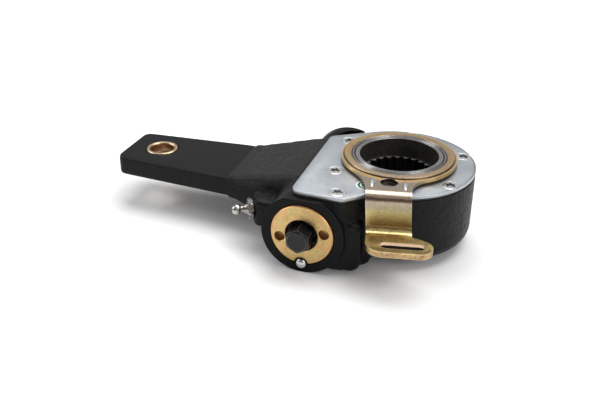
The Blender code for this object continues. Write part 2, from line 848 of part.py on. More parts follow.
def make_worm_wheel(camshaft_axis):
    """Hub with helical teeth, a splined camshaft bore, a counterbore and a seal groove."""
    groove_floor = hub_radius - seal_groove_depth
    groove_low = cover_bottom - seat_gap
    groove_high = groove_low + 2 * seal_section + 2 * seat_gap
    profile = [
        (0, hub_floor_gap),
        (hub_radius - lower_collar_chamfer, hub_floor_gap),
        (hub_radius, hub_floor_gap + lower_collar_chamfer),
        (hub_radius, groove_low),
        (groove_floor, groove_low),
        (groove_floor, groove_high),
        (hub_radius, groove_high),
        (hub_radius, hub_top),
        (0, hub_top),
    ]
    thickness = worm_pitch / 2 - worm_backlash
    first_tooth = math.pi + math.pi / wheel_teeth
    layers = []
    for z in (teeth_bottom, teeth_top):
        twist = (z - worm_height) * math.tan(worm_lead_angle) / wheel_pitch_radius
        outline = gear_outline(
            wheel_teeth,
            wheel_pitch_radius,
            wheel_tip_radius,
            wheel_root_radius,
            thickness,
            first_tooth + twist,
        )
        layers.append([(x, y, z) for x, y in outline])
    shoulder = hub_top - counterbore_depth
    counterbore = [
        (0, shoulder),
        (counterbore_radius, shoulder),
        (counterbore_radius, hub_top - counterbore_chamfer),
        (counterbore_radius + 2 * counterbore_chamfer, hub_top + counterbore_chamfer),
        (0, hub_top + counterbore_chamfer),
    ]
    bores = [
        prism("splines", spline_outline(), -mm, shoulder + seat_gap),
        turned("counterbore", counterbore, 40, hollow=False),
    ]
    hub = turned("worm_wheel", profile, 40, hollow=False)
    wheel = combined(hub, [lofted("wheel_teeth", layers)], bores)
    place("worm_wheel", wheel, "steel", camshaft_axis)


def make_control_disc(camshaft_axis):
    """Ring that the control arm is fixed on; a notch in its flange moves the rack's peg."""
    profile = [
        (disc_inner_radius, teeth_top + running_gap),
        (disc_foot_radius, teeth_top + running_gap),
        (disc_foot_radius, flange_bottom),
        (disc_radius, flange_bottom),
        (disc_radius, flange_top),
        (collar_radius, flange_top),
        (collar_radius, hub_top),
        (disc_inner_radius, hub_top),
    ]
    notch_half = peg_radius + notch_gap
    notch_inner = rack_line - peg_radius - notch_gap
    notch = box(
        "disc_notch",
        (notch_inner, -notch_half, flange_bottom - mm),
        (disc_radius + mm, notch_half, flange_top + mm),
    )
    rest = -math.pi / 2 - arm_travel / 2
    ring = turned("control_disc", profile, 36)
    place("control_disc", combined(ring, bores=[moved(notch, turn=rest)]), "steel", camshaft_axis)


def fold_lengths():
    """Mid-plane radius and length of the neck's bend, of the foot's bend, and the straight between them."""
    neck_radius = strap_bend_radius - sheet_thickness / 2
    foot_radius = foot_bend_radius + sheet_thickness / 2
    drop = sheet_top - foot_top
    return neck_radius, foot_radius, drop - neck_radius - foot_radius


def foot_unfolded(out):
    """How far out a point of the foot lies on the flat pattern."""
    neck_radius, foot_radius, straight = fold_lengths()
    return out + (neck_radius + foot_radius) * (math.pi / 2 - 1) + straight


def folded(mesh):
    """The flat pattern bent down at the neck and out again at the foot."""
    neck_radius, foot_radius, straight = fold_lengths()
    start = strap_outer - strap_bend_radius
    middle = sheet_top - sheet_thickness / 2
    quarter = math.pi / 2
    foot_bend_start = neck_radius * quarter + straight
    foot_start = foot_bend_start + foot_radius * quarter

    def bent(along, height):
        """(outwards, up) of a point this far past the start of the first bend."""
        if along <= neck_radius * quarter:
            angle = along / neck_radius
            reach = neck_radius + height
            return start + reach * math.sin(angle), middle - neck_radius + reach * math.cos(angle)
        if along <= foot_bend_start:
            return start + neck_radius + height, middle - along + neck_radius * (quarter - 1)
        out = start + neck_radius + foot_radius
        up = middle - neck_radius - straight
        if along <= foot_start:
            angle = (along - foot_bend_start) / foot_radius
            reach = foot_radius - height
            return out - reach * math.cos(angle), up - reach * math.sin(angle)
        return out + along - foot_start, up - foot_radius + height

    bm = bmesh.new()
    bm.from_mesh(mesh)
    stations = [neck_radius * quarter * i / 5 for i in range(6)]
    stations += [foot_bend_start + foot_radius * quarter * i / 5 for i in range(6)]
    for station in stations:
        every = bm.verts[:] + bm.edges[:] + bm.faces[:]
        line = (0, -(start + station), 0)
        bmesh.ops.bisect_plane(bm, geom=every, plane_co=line, plane_no=(0, 1, 0), dist=mm / 1000)
    for vertex in bm.verts:
        along = -vertex.co.y - start
        if along > 0:
            out, up = bent(along, vertex.co.z - middle)
            vertex.co.y = -out
            vertex.co.z = up
    bm.to_mesh(mesh)
    bm.free()
    return mesh


def control_arm_plan():
    """Flat pattern of the control arm: foot with its lobe, strap, neck and ring."""
    left = strap_offset - strap_width / 2
    right = strap_offset + strap_width / 2
    bend = -(strap_outer - strap_bend_radius)
    start = -foot_unfolded(strap_outer + foot_bend_radius)
    front = -foot_unfolded(strap_outer + foot_depth)
    corner = (left + strap_skew, front)
    corner_radius = min(foot_corner_radius, start - front - seat_gap)
    foot = rounded((corner[0], start), corner, (right, front), corner_radius, 6)
    slot_x, slot_out = slot_place()
    lobe = Vector((slot_x + (foot_slot_length - foot_slot_width) / 2, -foot_unfolded(slot_out)))
    back = Vector((right + strap_skew, start + foot_bend_radius - foot_lobe_back))
    reach = back - lobe
    tangent = math.atan2(reach.y, reach.x) - math.acos(foot_slot_margin / reach.length)
    foot += arc(tuple(lobe), foot_slot_margin, -math.pi / 2, tangent, 10)

    def neck(side_x, radius, steps=6):
        """Concave fillet between the ring and a side of the strap: (points, ring angle)."""
        sign = 1 if side_x > 0 else -1
        centre_x = side_x + sign * radius
        reach = sheet_outer_radius + radius
        centre_y = -math.sqrt(reach**2 - centre_x**2)
        at_strap = math.pi if sign > 0 else 0
        at_ring = math.atan2(-centre_y, -centre_x)
        points = arc((centre_x, centre_y), radius, at_strap, at_ring, steps)
        return [point for point in points if point[1] > bend + seat_gap], at_ring - math.pi

    right_points, right_angle = neck(right, neck_fillet_right)
    left_points, left_angle = neck(left, neck_fillet_left)
    ring = arc((0, 0), sheet_outer_radius, right_angle, left_angle + 2 * math.pi, 30)[1:-1]
    above = [(right, bend)] + right_points + ring + left_points[::-1] + [(left, bend)]
    return [(corner[0], start)] + foot + [tuple(back)] + above


def slot_place():
    """Middle of the foot's slot: x, and how far out it lies."""
    lobe_end = strap_offset + strap_width / 2 + strap_skew + foot_lobe_reach
    x = lobe_end - foot_slot_margin + foot_slot_width / 2 - foot_slot_length / 2
    return x, strap_outer + foot_depth - foot_slot_margin


def foot_slot():
    """Long hole in the foot, on the flat pattern."""
    reach = foot_slot_length / 2 - foot_slot_width / 2
    ends = arc((reach, 0), foot_slot_width / 2, -math.pi / 2, math.pi / 2, 8)
    ends += arc((-reach, 0), foot_slot_width / 2, math.pi / 2, 3 * math.pi / 2, 8)
    slot = prism("foot_slot", ends, sheet_bottom - mm, sheet_top + mm)
    x, out = slot_place()
    return moved(slot, (x, -foot_unfolded(out), 0))


def make_control_arm(camshaft_axis):
    """Bent sheet pressing: ring with a raised lip, neck with a hole, strap and slotted foot."""
    sheet = prism("control_arm", control_arm_plan(), sheet_bottom, sheet_top)
    lip = disc("arm_lip", sheet_inner_radius + lip_width, sheet_bottom + seat_gap, hub_top, 40)
    hole_out = sheet_inner_radius + lip_width + neck_hole_margin + neck_hole_radius
    hole = disc("neck_hole", neck_hole_radius, sheet_bottom - mm, sheet_top + mm)
    bores = [
        disc("arm_bore", sheet_inner_radius, 0, 2 * hub_top, 40),
        moved(hole, (strap_offset, -hole_out, 0)),
        foot_slot(),
    ]
    blank = combined(sheet, [lip], bores)
    turn = (0, 0, control_rest_angle)
    place("control_arm", folded(blank), "yellow_zinc", camshaft_axis, rotation=turn)


def make_rack():
    """Toothed bar along X with a round peg that stands in the disc's notch."""
    pitch = math.pi * gear_module
    half_tooth = (pitch / 2 - gear_backlash) / 2
    lean = math.tan(pressure_angle)
    tip_half = half_tooth - lean * (rack_pitch_height - rack_tip_height)
    root_half = half_tooth + lean * (rack_root_height - rack_pitch_height)
    outline = [(peg_start + peg_radius, rack_top), (worm_x - rack_travel - gear_module, rack_top)]
    outline.append((worm_x - rack_travel - gear_module, rack_root_height))
    for tooth in range(-rack_teeth, 1):
        middle = worm_x + (tooth + 0.5) * pitch
        outline += [
            (middle - root_half, rack_root_height),
            (middle - tip_half, rack_tip_height),
            (middle + tip_half, rack_tip_height),
            (middle + root_half, rack_root_height),
        ]
    outline = [point for point in outline if point[0] > worm_x - rack_travel - gear_module - mm / 100]
    outline.append((peg_start + peg_radius, rack_root_height))
    low = -rack_line - rack_width / 2
    high = -rack_line + rack_width / 2
    peg = disc("rack_peg", peg_radius, rack_root_height + seat_gap, flange_top - seat_gap, 20)
    bar = side_prism("rack", outline, low, high)
    place("rack", combined(bar, [moved(peg, (peg_start, -rack_line, 0))]), "black_oxide")


def make_drive_gear(worm_axis):
    """Gear that the rack turns, with the hub that carries half of the wrap spring."""
    thickness = math.pi * gear_module / 2 - gear_backlash
    outline = gear_outline(
        gear_teeth,
        gear_pitch_radius,
        gear_tip_radius,
        gear_root_radius,
        thickness,
        math.pi / 2,
    )
    hub = disc("gear_hub", gear_hub_radius, gear_front - mm, gear_hub_front)
    bore = disc("gear_bore", shaft_radius + seat_gap, gear_back - mm, gear_hub_front + mm)
    blank = prism("drive_gear", outline, gear_back, gear_front)
    place("drive_gear", combined(blank, [hub], [bore]), "steel", worm_axis)


def make_clutch(worm_axis):
    """Wrap spring over both hubs, and the ring that hands its turn to the worm."""
    half = clutch_spring_wire / 2
    section = [(-half, -half), (half, -half), (half, half), (-half, half)]
    wound_radius = gear_hub_radius + seat_gap + half
    low = gear_front + seat_gap + half
    high = clutch_flange_back - seat_gap - half
    spring = coil("clutch_spring", wound_radius, low, high, clutch_spring_turns, section, 18)
    place("clutch_spring", spring, "bright_steel", worm_axis)
    bore = shaft_radius + seat_gap
    profile = [
        (bore, clutch_hub_back),
        (gear_hub_radius, clutch_hub_back),
        (gear_hub_radius, clutch_flange_back),
        (clutch_flange_radius, clutch_flange_back),
        (clutch_flange_radius, clutch_flange_front),
        (bore, clutch_flange_front),
    ]
    place("clutch_ring", turned("clutch_ring", profile), "steel", worm_axis)


def worm_column(angle):
    """The worm shaft's outline at one angle: rear journal, thread, shaft and hexagon."""
    half_length = worm_thread_length / 2
    lean = math.tan(pressure_angle)
    half_tooth = (worm_pitch / 2 - worm_backlash) / 2
    tip_half = half_tooth - lean * tooth_addendum
    root_half = half_tooth + lean * tooth_dedendum
    collar = half_length + 2 * seat_gap
    collar_end = collar + washer_thickness
    rear_end = -(plug_front - 2 * seat_gap)
    column = [
        (0, rear_end),
        (journal_radius - hexagon_chamfer / 2, rear_end),
        (journal_radius, rear_end + hexagon_chamfer / 2),
        (journal_radius, -collar_end),
        (worm_pitch_radius, -collar_end),
        (worm_pitch_radius, -collar),
        (worm_root_radius, -collar),
    ]
    reach = math.ceil(half_length / worm_pitch) + 1
    for turn in range(-reach, reach + 1):
        middle = worm_pitch * (turn + angle / (2 * math.pi))
        for radius, offset in (
            (worm_root_radius, -root_half),
            (worm_tip_radius, -tip_half),
            (worm_tip_radius, tip_half),
            (worm_root_radius, root_half),
        ):
            height = middle + offset
            if abs(height) > half_length:
                height = math.copysign(half_length, height)
                radius = worm_root_radius
            column.append((radius, height))
    hexagon_back = hexagon_front - hexagon_length
    side = hexagon_radius(angle, hexagon_width)
    face = hexagon_width / 2 - hexagon_chamfer / 2
    column += [
        (worm_root_radius, collar),
        (worm_pitch_radius, collar),
        (worm_pitch_radius, collar_end),
        (shaft_radius, collar_end),
        (shaft_radius, hexagon_back - hexagon_runout),
        (side, hexagon_back),
        (side, hexagon_front - hexagon_chamfer),
        (face, hexagon_front),
        (0, hexagon_front),
    ]
    return column


def make_worm_shaft(worm_axis):
    place("worm_shaft", columns_mesh("worm_shaft", worm_column, 24), "black_oxide", worm_axis)


def make_front_closure(worm_axis):
    """Retainer disc with its pin holes, the pin that locks it, and the seal and washer behind it."""
    pocket_radius = shaft_radius + shaft_seal_wall + seat_gap
    pocket_depth = retainer_thickness / 2
    edge = retainer_hole_radius / 20
    profile = [
        (pocket_radius, retainer_back),
        (retainer_radius, retainer_back),
        (retainer_radius, retainer_front - edge),
        (retainer_radius - edge, retainer_front),
        (retainer_hole_radius + edge, retainer_front),
        (retainer_hole_radius, retainer_front - edge),
        (retainer_hole_radius, retainer_back + pocket_depth),
        (pocket_radius, retainer_back + pocket_depth),
    ]
    pin_hole = disc("pin_hole", pin_hole_radius, retainer_front - pin_hole_depth, retainer_front + mm, 14)
    notch = disc("pin_notch", locking_pin_radius + seat_gap, retainer_back - mm, retainer_front + mm, 12)
    bores = [moved(notch, (0, -retainer_radius, 0))]
    for angle in (pin_hole_angle, pin_hole_angle + math.pi):
        middle = (pin_hole_circle * math.cos(angle), pin_hole_circle * math.sin(angle), 0)
        bores.append(moved(pin_hole, middle))
    retainer = combined(turned("front_retainer", profile, 32), bores=bores)
    place("front_retainer", retainer, "yellow_zinc", worm_axis)
    dome = arc((0, 0), locking_pin_radius, 0, math.pi / 2, 5)
    rim = retainer_front - locking_pin_rim
    pin = [(0, locking_pin_back), (locking_pin_radius, locking_pin_back)]
    pin += [(radius, rim + locking_pin_dome * up) for radius, up in dome[:-1]]
    pin.append((0, rim + locking_pin_dome * locking_pin_radius))
    locking_pin = turned("locking_pin", pin, 16, hollow=False)
    place("locking_pin", locking_pin, "bright_steel", worm_axis, location=(0, -retainer_radius, 0))
    seal = [
        (shaft_radius + seat_gap, retainer_back + seat_gap),
        (pocket_radius - seat_gap, retainer_back + seat_gap),
        (pocket_radius - seat_gap, retainer_back + pocket_depth - seat_gap),
        (shaft_radius + seat_gap, retainer_back + pocket_depth - seat_gap),
    ]
    place("shaft_seal", turned("shaft_seal", seal), "rubber", worm_axis)
    washer = [
        (shaft_radius + running_gap, front_washer_back),
        (front_bore_radius - running_gap, front_washer_back),
        (front_bore_radius - running_gap, front_washer_front),
        (shaft_radius + running_gap, front_washer_front),
    ]
    place("front_thrust_washer", turned("front_thrust_washer", washer), "bright_steel", worm_axis)


def make_rear_closure(worm_axis):
    """Thrust bearing, spring seat, strong spring and screwed plug behind the worm."""
    bore = journal_radius + seat_gap
    bearing = [
        (bore, -bearing_front),
        (worm_bore_radius - running_gap, -bearing_front),
        (worm_bore_radius - running_gap, -bearing_rear),
        (bore, -bearing_rear),
    ]
    place("thrust_bearing", turned("thrust_bearing", bearing[::-1]), "bright_steel", worm_axis)
    seat = [
        (bore, -seat_front),
        (worm_bore_radius - running_gap, -seat_front),
        (worm_bore_radius - running_gap, -seat_flange),
        (rear_bore_radius - running_gap, -seat_flange),
        (rear_bore_radius - running_gap, -seat_rear),
        (bore, -seat_rear),
    ]
    place("spring_seat", turned("spring_seat", seat[::-1]), "steel", worm_axis)
    half = strong_spring_wire / 2
    section = circle((0, 0), half, 6)
    low = -(plug_front - seat_gap - half)
    high = -(seat_rear + seat_gap + half)
    wound = rear_bore_radius - strong_spring_gap - half
    spring = coil("strong_spring", wound, low, high, strong_spring_turns, section, 12)
    place("strong_spring", spring, "black_oxide", worm_axis)
    plug_radius = rear_bore_radius - seat_gap
    recess = plug_thickness / 2

    def plug_column(angle):
        side = hexagon_radius(angle, plug_hexagon_width)
        return [
            (0, recess - barrel_rear),
            (side, recess - barrel_rear),
            (side, seat_gap - barrel_rear),
            (plug_radius, seat_gap - barrel_rear),
            (plug_radius, -plug_front),
            (0, -plug_front),
        ]

    place("rear_plug", columns_mesh("rear_plug", plug_column, 24), "black_oxide", worm_axis)


def ring_seal(name, middle_radius, height, camshaft_axis):
    """An O-ring round the camshaft's axis."""
    section = circle((middle_radius, height), seal_section, 6)
    place(name, turned(name, section), "rubber", camshaft_axis)


def make_wheel_seals(camshaft_axis):
    """The washer under the wheel and the seals round its hub."""
    hub_bore = hub_radius + running_gap
    washer = [
        (hub_bore, chamber_floor + seat_gap),
        (wheel_tip_radius - washer_inset, chamber_floor + seat_gap),
        (wheel_tip_radius - washer_inset, chamber_floor + seat_gap + washer_thickness),
        (hub_bore, chamber_floor + seat_gap + washer_thickness),
    ]
    place("wheel_thrust_washer", turned("wheel_thrust_washer", washer), "bright_steel", camshaft_axis)
    lower_middle = hub_radius + seat_gap + seal_section
    lower_height = ring_bottom + seal_groove_wall + seat_gap + seal_play + seal_section
    ring_seal("lower_seal", lower_middle, lower_height, camshaft_axis)
    upper_middle = hub_radius - seal_groove_depth + seat_gap + seal_section
    upper_height = cover_bottom + seal_section
    ring_seal("upper_seal", upper_middle, upper_height, camshaft_axis)
    lip = [
        (sheet_inner_radius, flange_top + seat_gap),
        (cover_hole_radius + cover_seal_width, flange_top + seat_gap),
        (cover_hole_radius + cover_seal_width, cover_bottom - seat_gap),
        (sheet_inner_radius, cover_bottom - seat_gap),
    ]
    place("cover_seal", turned("cover_seal", lip), "rubber", camshaft_axis)


def make_cover():
    """Gasket, sheet cover and the countersunk screws that hold them."""
    outline = cover_outline()
    sink = cover_thickness - seat_gap
    shank_hole = screw_shank_radius + seat_gap
    sink_profile = [
        (0, deck),
        (shank_hole, deck),
        (shank_hole, cover_bottom),
        (screw_head_radius + seat_gap, cover_top),
        (screw_head_radius + seat_gap, cover_top + mm),
        (0, cover_top + mm),
    ]
    sink_mesh = turned("countersink", sink_profile, 10, hollow=False)
    screw_profile = [
        (0, cover_top - screw_length),
        (screw_shank_radius - seat_gap, cover_top - screw_length),
        (screw_shank_radius, cover_top - screw_length + 2 * seat_gap),
        (screw_shank_radius, cover_top - sink),
        (screw_head_radius, cover_top),
        (0, cover_top),
    ]
    screw_mesh = turned("cover_screw", screw_profile, 10, hollow=False)
    shank = disc("gasket_screw_hole", shank_hole, deck, 2 * deck, 8)
    gasket = prism("cover_gasket", grown(outline, -seat_gap), gasket_bottom, gasket_bottom + gasket_thickness)
    gasket_bores = [disc("gasket_hole", disc_chamber_radius + seat_gap, deck, 2 * deck, 32)]
    gasket_bores += [moved(shank, (x, y, 0)) for x, y in screw_places()]
    place("cover_gasket", combined(gasket, bores=gasket_bores), "gasket_paper")
    cover = prism("cover_plate", outline, cover_bottom, cover_top)
    cover_bores = [disc("cover_hole", cover_hole_radius, deck, 2 * deck, 40)]
    cover_bores += [moved(sink_mesh, (x, y, 0)) for x, y in screw_places()]
    place("cover_plate", combined(cover, bores=cover_bores), "galvanised")
    for number, (x, y) in enumerate(screw_places(), 1):
        place(f"cover_screw_{number}", screw_mesh, "bright_steel", location=(x, y, 0))


def make_grease_nipple():
    """Nipple screwed into the boss, pointing away from the body."""
    neck_end = -(seat_gap + nipple_flange + nipple_neck_length)
    ball_middle = neck_end - nipple_ball_radius * math.cos(math.radians(45))

    def column(angle):
        side = hexagon_radius(angle, nipple_hexagon_width)
        points = [
            (0, nipple_shank_length),
            (nipple_shank_radius - seat_gap, nipple_shank_length),
            (nipple_shank_radius, nipple_shank_length - seat_gap),
            (nipple_shank_radius, -seat_gap),
            (side, -seat_gap),
            (side, -seat_gap - nipple_flange),
            (1.5 * nipple_neck_radius, -seat_gap - nipple_flange - nipple_neck_radius),
            (nipple_neck_radius, neck_end + nipple_neck_radius),
        ]
        ball = arc((0, ball_middle), nipple_ball_radius, math.radians(45), -math.pi / 2, 6)
        return points + ball[:-1] + [(0, ball_middle - nipple_ball_radius)]

    nipple = columns_mesh("grease_nipple", column, 12)
    nipple.transform(nipple_frame())
    place("grease_nipple", nipple, "bright_steel")


def make_slack_adjuster():
    clear_scene()
    camshaft_axis = axis_empty("camshaft_axis", (0, 0, 0))
    worm_axis = axis_empty("worm_axis", (worm_x, 0, worm_height), (math.pi / 2, 0, 0))
    make_housing()
    make_clevis_bush()
    make_worm_wheel(camshaft_axis)
    make_control_disc(camshaft_axis)
    make_control_arm(camshaft_axis)
    make_rack()
    make_drive_gear(worm_axis)
    make_clutch(worm_axis)
    make_worm_shaft(worm_axis)
    make_front_closure(worm_axis)
    make_rear_closure(worm_axis)
    make_wheel_seals(camshaft_axis)
    make_cover()
    make_grease_nipple()


make_slack_adjuster()
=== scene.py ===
"""Visual model of an automatic slack adjuster: cast housing, plated control arm, cover, worm end and studio.

Sizes are millimetres in the part's own frame and become metres where a mesh is made.
"""

from math import acos, atan2, copysign, cos, hypot, pi, radians, sin, sqrt, tan

import bmesh
import bpy
import numpy as np
from mathutils import Matrix, Vector, noise


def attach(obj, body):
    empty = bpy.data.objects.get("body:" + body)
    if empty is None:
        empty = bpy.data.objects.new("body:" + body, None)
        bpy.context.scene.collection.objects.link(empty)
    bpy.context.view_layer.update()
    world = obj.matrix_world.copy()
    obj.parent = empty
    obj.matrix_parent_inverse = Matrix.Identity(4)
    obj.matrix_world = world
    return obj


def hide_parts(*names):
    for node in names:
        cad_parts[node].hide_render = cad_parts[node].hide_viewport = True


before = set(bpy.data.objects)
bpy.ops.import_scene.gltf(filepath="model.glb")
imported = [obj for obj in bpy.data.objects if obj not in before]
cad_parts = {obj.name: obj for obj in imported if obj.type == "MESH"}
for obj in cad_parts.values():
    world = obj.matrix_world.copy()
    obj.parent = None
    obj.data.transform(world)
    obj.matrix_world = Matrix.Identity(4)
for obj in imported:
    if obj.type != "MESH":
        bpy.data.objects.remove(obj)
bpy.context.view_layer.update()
scene = bpy.context.scene
MM = 0.001
QUARTER_TURN = [radians(turn) for turn in range(0, 91, 15)]

# Places that the pieces share
WORM_X = -37.2
WORM_Z = 22.5
DECK = 42.6
GASKET_LOW, GASKET_HIGH = 42.9, 43.5
COVER_LOW, COVER_TOP = 43.8, 45.5
SHEET_LOW, SHEET_TOP = 45.8, 49.1
HUB_TOP = 49.9
RING_R = 42.1
HUB_R = 24.2
COLLAR_IN, COLLAR_OUT = 24.6, 25.9
BARREL_FRONT, BARREL_REAR = 57.1, -38.4
PIN_DROP = 17.1
PITCH_R, TEETH, PRESSURE = 28.0, 22, radians(20)
WORM_PITCH_R = 9.2
THREAD_PITCH = 2 * pi * PITCH_R / TEETH
HALF_BACKLASH = 0.3
SHEET_IN, LIP_R, SHEET_OUT = 26.2, 30.1, 31.7
COVER_HOLE_R = 26.6
DISC_R = 32.6
REST_TURN = radians(11.5)
ARM_CENTRE_Y = -1.3
TILT = radians(28)
NIPPLE = Matrix(
    (
        (0, -sin(TILT), cos(TILT), -71.3),
        (0, cos(TILT), sin(TILT), -39.144),
        (-1, 0, 0, 22.8),
        (0, 0, 0, 1),
    )
)
CLEVIS_X = -145.5
ARM_Z = 25.5


# ---- shapes


def to_mesh(name, bm, recalc=True):
    """A mesh in metres from a bmesh in millimetres."""
    if recalc:
        bmesh.ops.recalc_face_normals(bm, faces=bm.faces)
    bmesh.ops.scale(bm, vec=(MM, MM, MM), verts=bm.verts)
    mesh = bpy.data.meshes.new(name)
    bm.to_mesh(mesh)
    bm.free()
    return mesh


def new_object(name, data):
    obj = bpy.data.objects.new(name, data)
    scene.collection.objects.link(obj)
    return obj


def modify(obj, name, kind, **settings):
    modifier = obj.modifiers.new(name, kind)
    for key, value in settings.items():
        setattr(modifier, key, value)


def baked(body, guides=()):
    """The body's mesh with its modifiers applied; the body and its guides are removed."""
    bpy.context.view_layer.update()
    mesh = bpy.data.meshes.new_from_object(body.evaluated_get(bpy.context.evaluated_depsgraph_get()))
    for obj in [body, *guides]:
        bpy.data.objects.remove(obj)
    return mesh


def finish_piece(name, mesh, material, nodes=(), body="housing", angle=32, bevel=0.0, second=None):
    """Makes the object, shades it, rounds its sharp edges if asked, ties it to its body and hides the nodes
    it stands in for.

    The second material goes to faces for which second(x, y, z, level) is true; level is 0 on a wall.
    """
    if isinstance(mesh, bmesh.types.BMesh):
        mesh = to_mesh(name, mesh)
    obj = new_object(name, mesh)
    mesh.materials.clear()
    for one in material if isinstance(material, list) else [material]:
        mesh.materials.append(one)
    if second:
        for polygon in mesh.polygons:
            polygon.material_index = int(second(*polygon.center / MM, abs(polygon.normal.z)))
    mesh.shade_smooth()
    if bevel:
        modify(
            obj, "edge_rounding", "BEVEL", width=bevel * MM, segments=2, limit_method="ANGLE",
            angle_limit=radians(angle), use_clamp_overlap=True, harden_normals=True,
        )
        modify(obj, "even_normals", "WEIGHTED_NORMAL", keep_sharp=True)
    mesh.set_sharp_from_angle(angle=radians(angle if not bevel else 60))
    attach(obj, body)
    if nodes:
        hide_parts(*nodes)


def rounded_path(points, radius, steps, closed=False):
    """A path of (a, b) points with each corner rounded; a third number sets a corner's own radius."""
    result = []
    count = len(points)
    for i, point in enumerate(points):
        own = point[2] if len(point) > 2 else radius
        here = Vector(point[:2])
        if not closed and i in (0, count - 1) or own <= 0:
            result.append(tuple(here))
            continue
        back = Vector(points[i - 1][:2]) - here
        ahead = Vector(points[(i + 1) % count][:2]) - here
        reach = min(back.length, ahead.length) * 0.49
        half = back.angle(ahead) / 2
        if abs(half - pi / 2) < 0.02 or reach < 1e-6:
            result.append(tuple(here))
            continue
        tangent = min(own / tan(half), reach)
        own = tangent * tan(half)
        back.normalize()
        ahead.normalize()
        centre = here + (back + ahead).normalized() * (own / sin(half))
        first = here + back * tangent - centre
        last = here + ahead * tangent - centre
        sweep = pi - 2 * half
        sign = 1 if first.x * last.y - first.y * last.x > 0 else -1
        for step in range(steps + 1):
            turn = Matrix.Rotation(sign * sweep * step / steps, 2)
            result.append(tuple(centre + turn @ first))
    return result


def polar(radius, angle):
    return radius * cos(angle), radius * sin(angle)


def column_solid(column_at, columns=144, hollow=False):
    """A closed surface round Z through column_at(angle), its (radius, height) points from end to end."""
    bm = bmesh.new()
    corners = {}

    def corner(angle, radius, height):
        x, y = polar(radius, angle)
        key = (round(x, 5), round(y, 5), round(height, 5))
        if key not in corners:
            corners[key] = bm.verts.new((x, y, height))
        return corners[key]

    grid = []
    for step in range(columns + 1):
        angle = 2 * pi * (step % columns) / columns
        path = column_at(angle)
        # A hollow one closes on itself, and a solid one runs in to the axis at both ends.
        path = path + path[:1] if hollow else [(0, path[0][1]), *path, (0, path[-1][1])]
        grid.append([corner(angle, radius, height) for radius, height in path])
    for left, right in zip(grid, grid[1:]):
        for row in range(len(left) - 1):
            around = [left[row], right[row], right[row + 1], left[row + 1]]
            face = list(dict.fromkeys(around))
            if len(face) > 2 and not bm.faces.get(face):
                bm.faces.new(face)
    return bm


def lathe(profile, columns=144, edge=0.0, hollow=False):
    """A turned solid round Z, its corners rounded by edge."""
    path = rounded_path(profile, edge, 2, closed=hollow) if edge else profile
    return column_solid(lambda angle: path, columns, hollow)


def rod(radius, low, high, columns=144):
    return lathe([(radius, low), (radius, high)], columns)


def loft(layers):
    """A solid through closed loops of equally many points, with flat ends."""
    bm = bmesh.new()
    rings = [[bm.verts.new(point) for point in layer] for layer in layers]
    count = len(rings[0])
    for low, high in zip(rings, rings[1:]):
        for i in range(count):
            j = (i + 1) % count
            bm.faces.new((low[i], low[j], high[j], high[i]))
    bm.faces.new(rings[0])
    bm.faces.new(rings[-1])
    return bm


def prism(outline, low, high):
    return loft([[(x, y, z) for x, y in outline] for z in (low, high)])


def box(low, high):
    outline = [(low[0], low[1]), (high[0], low[1]), (high[0], high[1]), (low[0], high[1])]
    return prism(outline, low[2], high[2])


def arc(centre, radius, start, end, steps):
    turns = [start + (end - start) * i / steps for i in range(steps + 1)]
    return [(centre[0] + x, centre[1] + y) for x, y in (polar(radius, turn) for turn in turns)]


def offset_outline(outline, distance):
    """An anticlockwise outline moved outwards by a distance."""
    moved = []
    for i, point in enumerate(outline):
        here = Vector(point)
        back = (here - Vector(outline[i - 1])).normalized()
        ahead = (Vector(outline[(i + 1) % len(outline)]) - here).normalized()
        middle = (back + ahead).normalized()
        moved.append(tuple(here + Vector((middle.y, -middle.x)) * distance / max(0.5, middle.dot(ahead))))
    return moved


def slab(outline, low, high, edge, steps=3):
    """A flat piece with its top and bottom edges rounded."""
    layers = []
    for step in range(steps + 1):
        angle = pi / 2 * step / steps
        inset = edge * (1 - sin(angle))
        layers.append([(x, y, low + edge * (1 - cos(angle))) for x, y in offset_outline(outline, -inset)])
    top = [[(x, y, high + low - z) for x, y, z in layer] for layer in layers[::-1]]
    return loft(layers + top)


def shifted(bm, x=0.0, y=0.0, z=0.0, turn=0.0):
    bm.transform(Matrix.Translation((x, y, z)) @ Matrix.Rotation(turn, 4, "Z"))
    return bm


def on_worm_line(bm):
    """Lays a solid made round Z along the worm, its Z running forward to -Y."""
    bm.transform(Matrix(((1, 0, 0, WORM_X), (0, 0, -1, 0), (0, 1, 0, WORM_Z), (0, 0, 0, 1))))
    return bm


def combine(name, base, joined=(), bores=()):
    """The base with solids joined and bores cut, as one mesh; all are bmeshes in millimetres."""
    body = new_object(name, base if isinstance(base, bpy.types.Mesh) else to_mesh(name, base))
    guides = []
    for operation, solids in (("UNION", joined), ("DIFFERENCE", bores)):
        for index, solid in enumerate(solids):
            guides.append(new_object(f"{name}_{operation}_{index}", to_mesh(name, solid)))
            modify(body, operation, "BOOLEAN", operation=operation, object=guides[-1], solver="MANIFOLD")
    mesh = baked(body, guides)
    mesh.name = name
    return mesh


# ---- materials


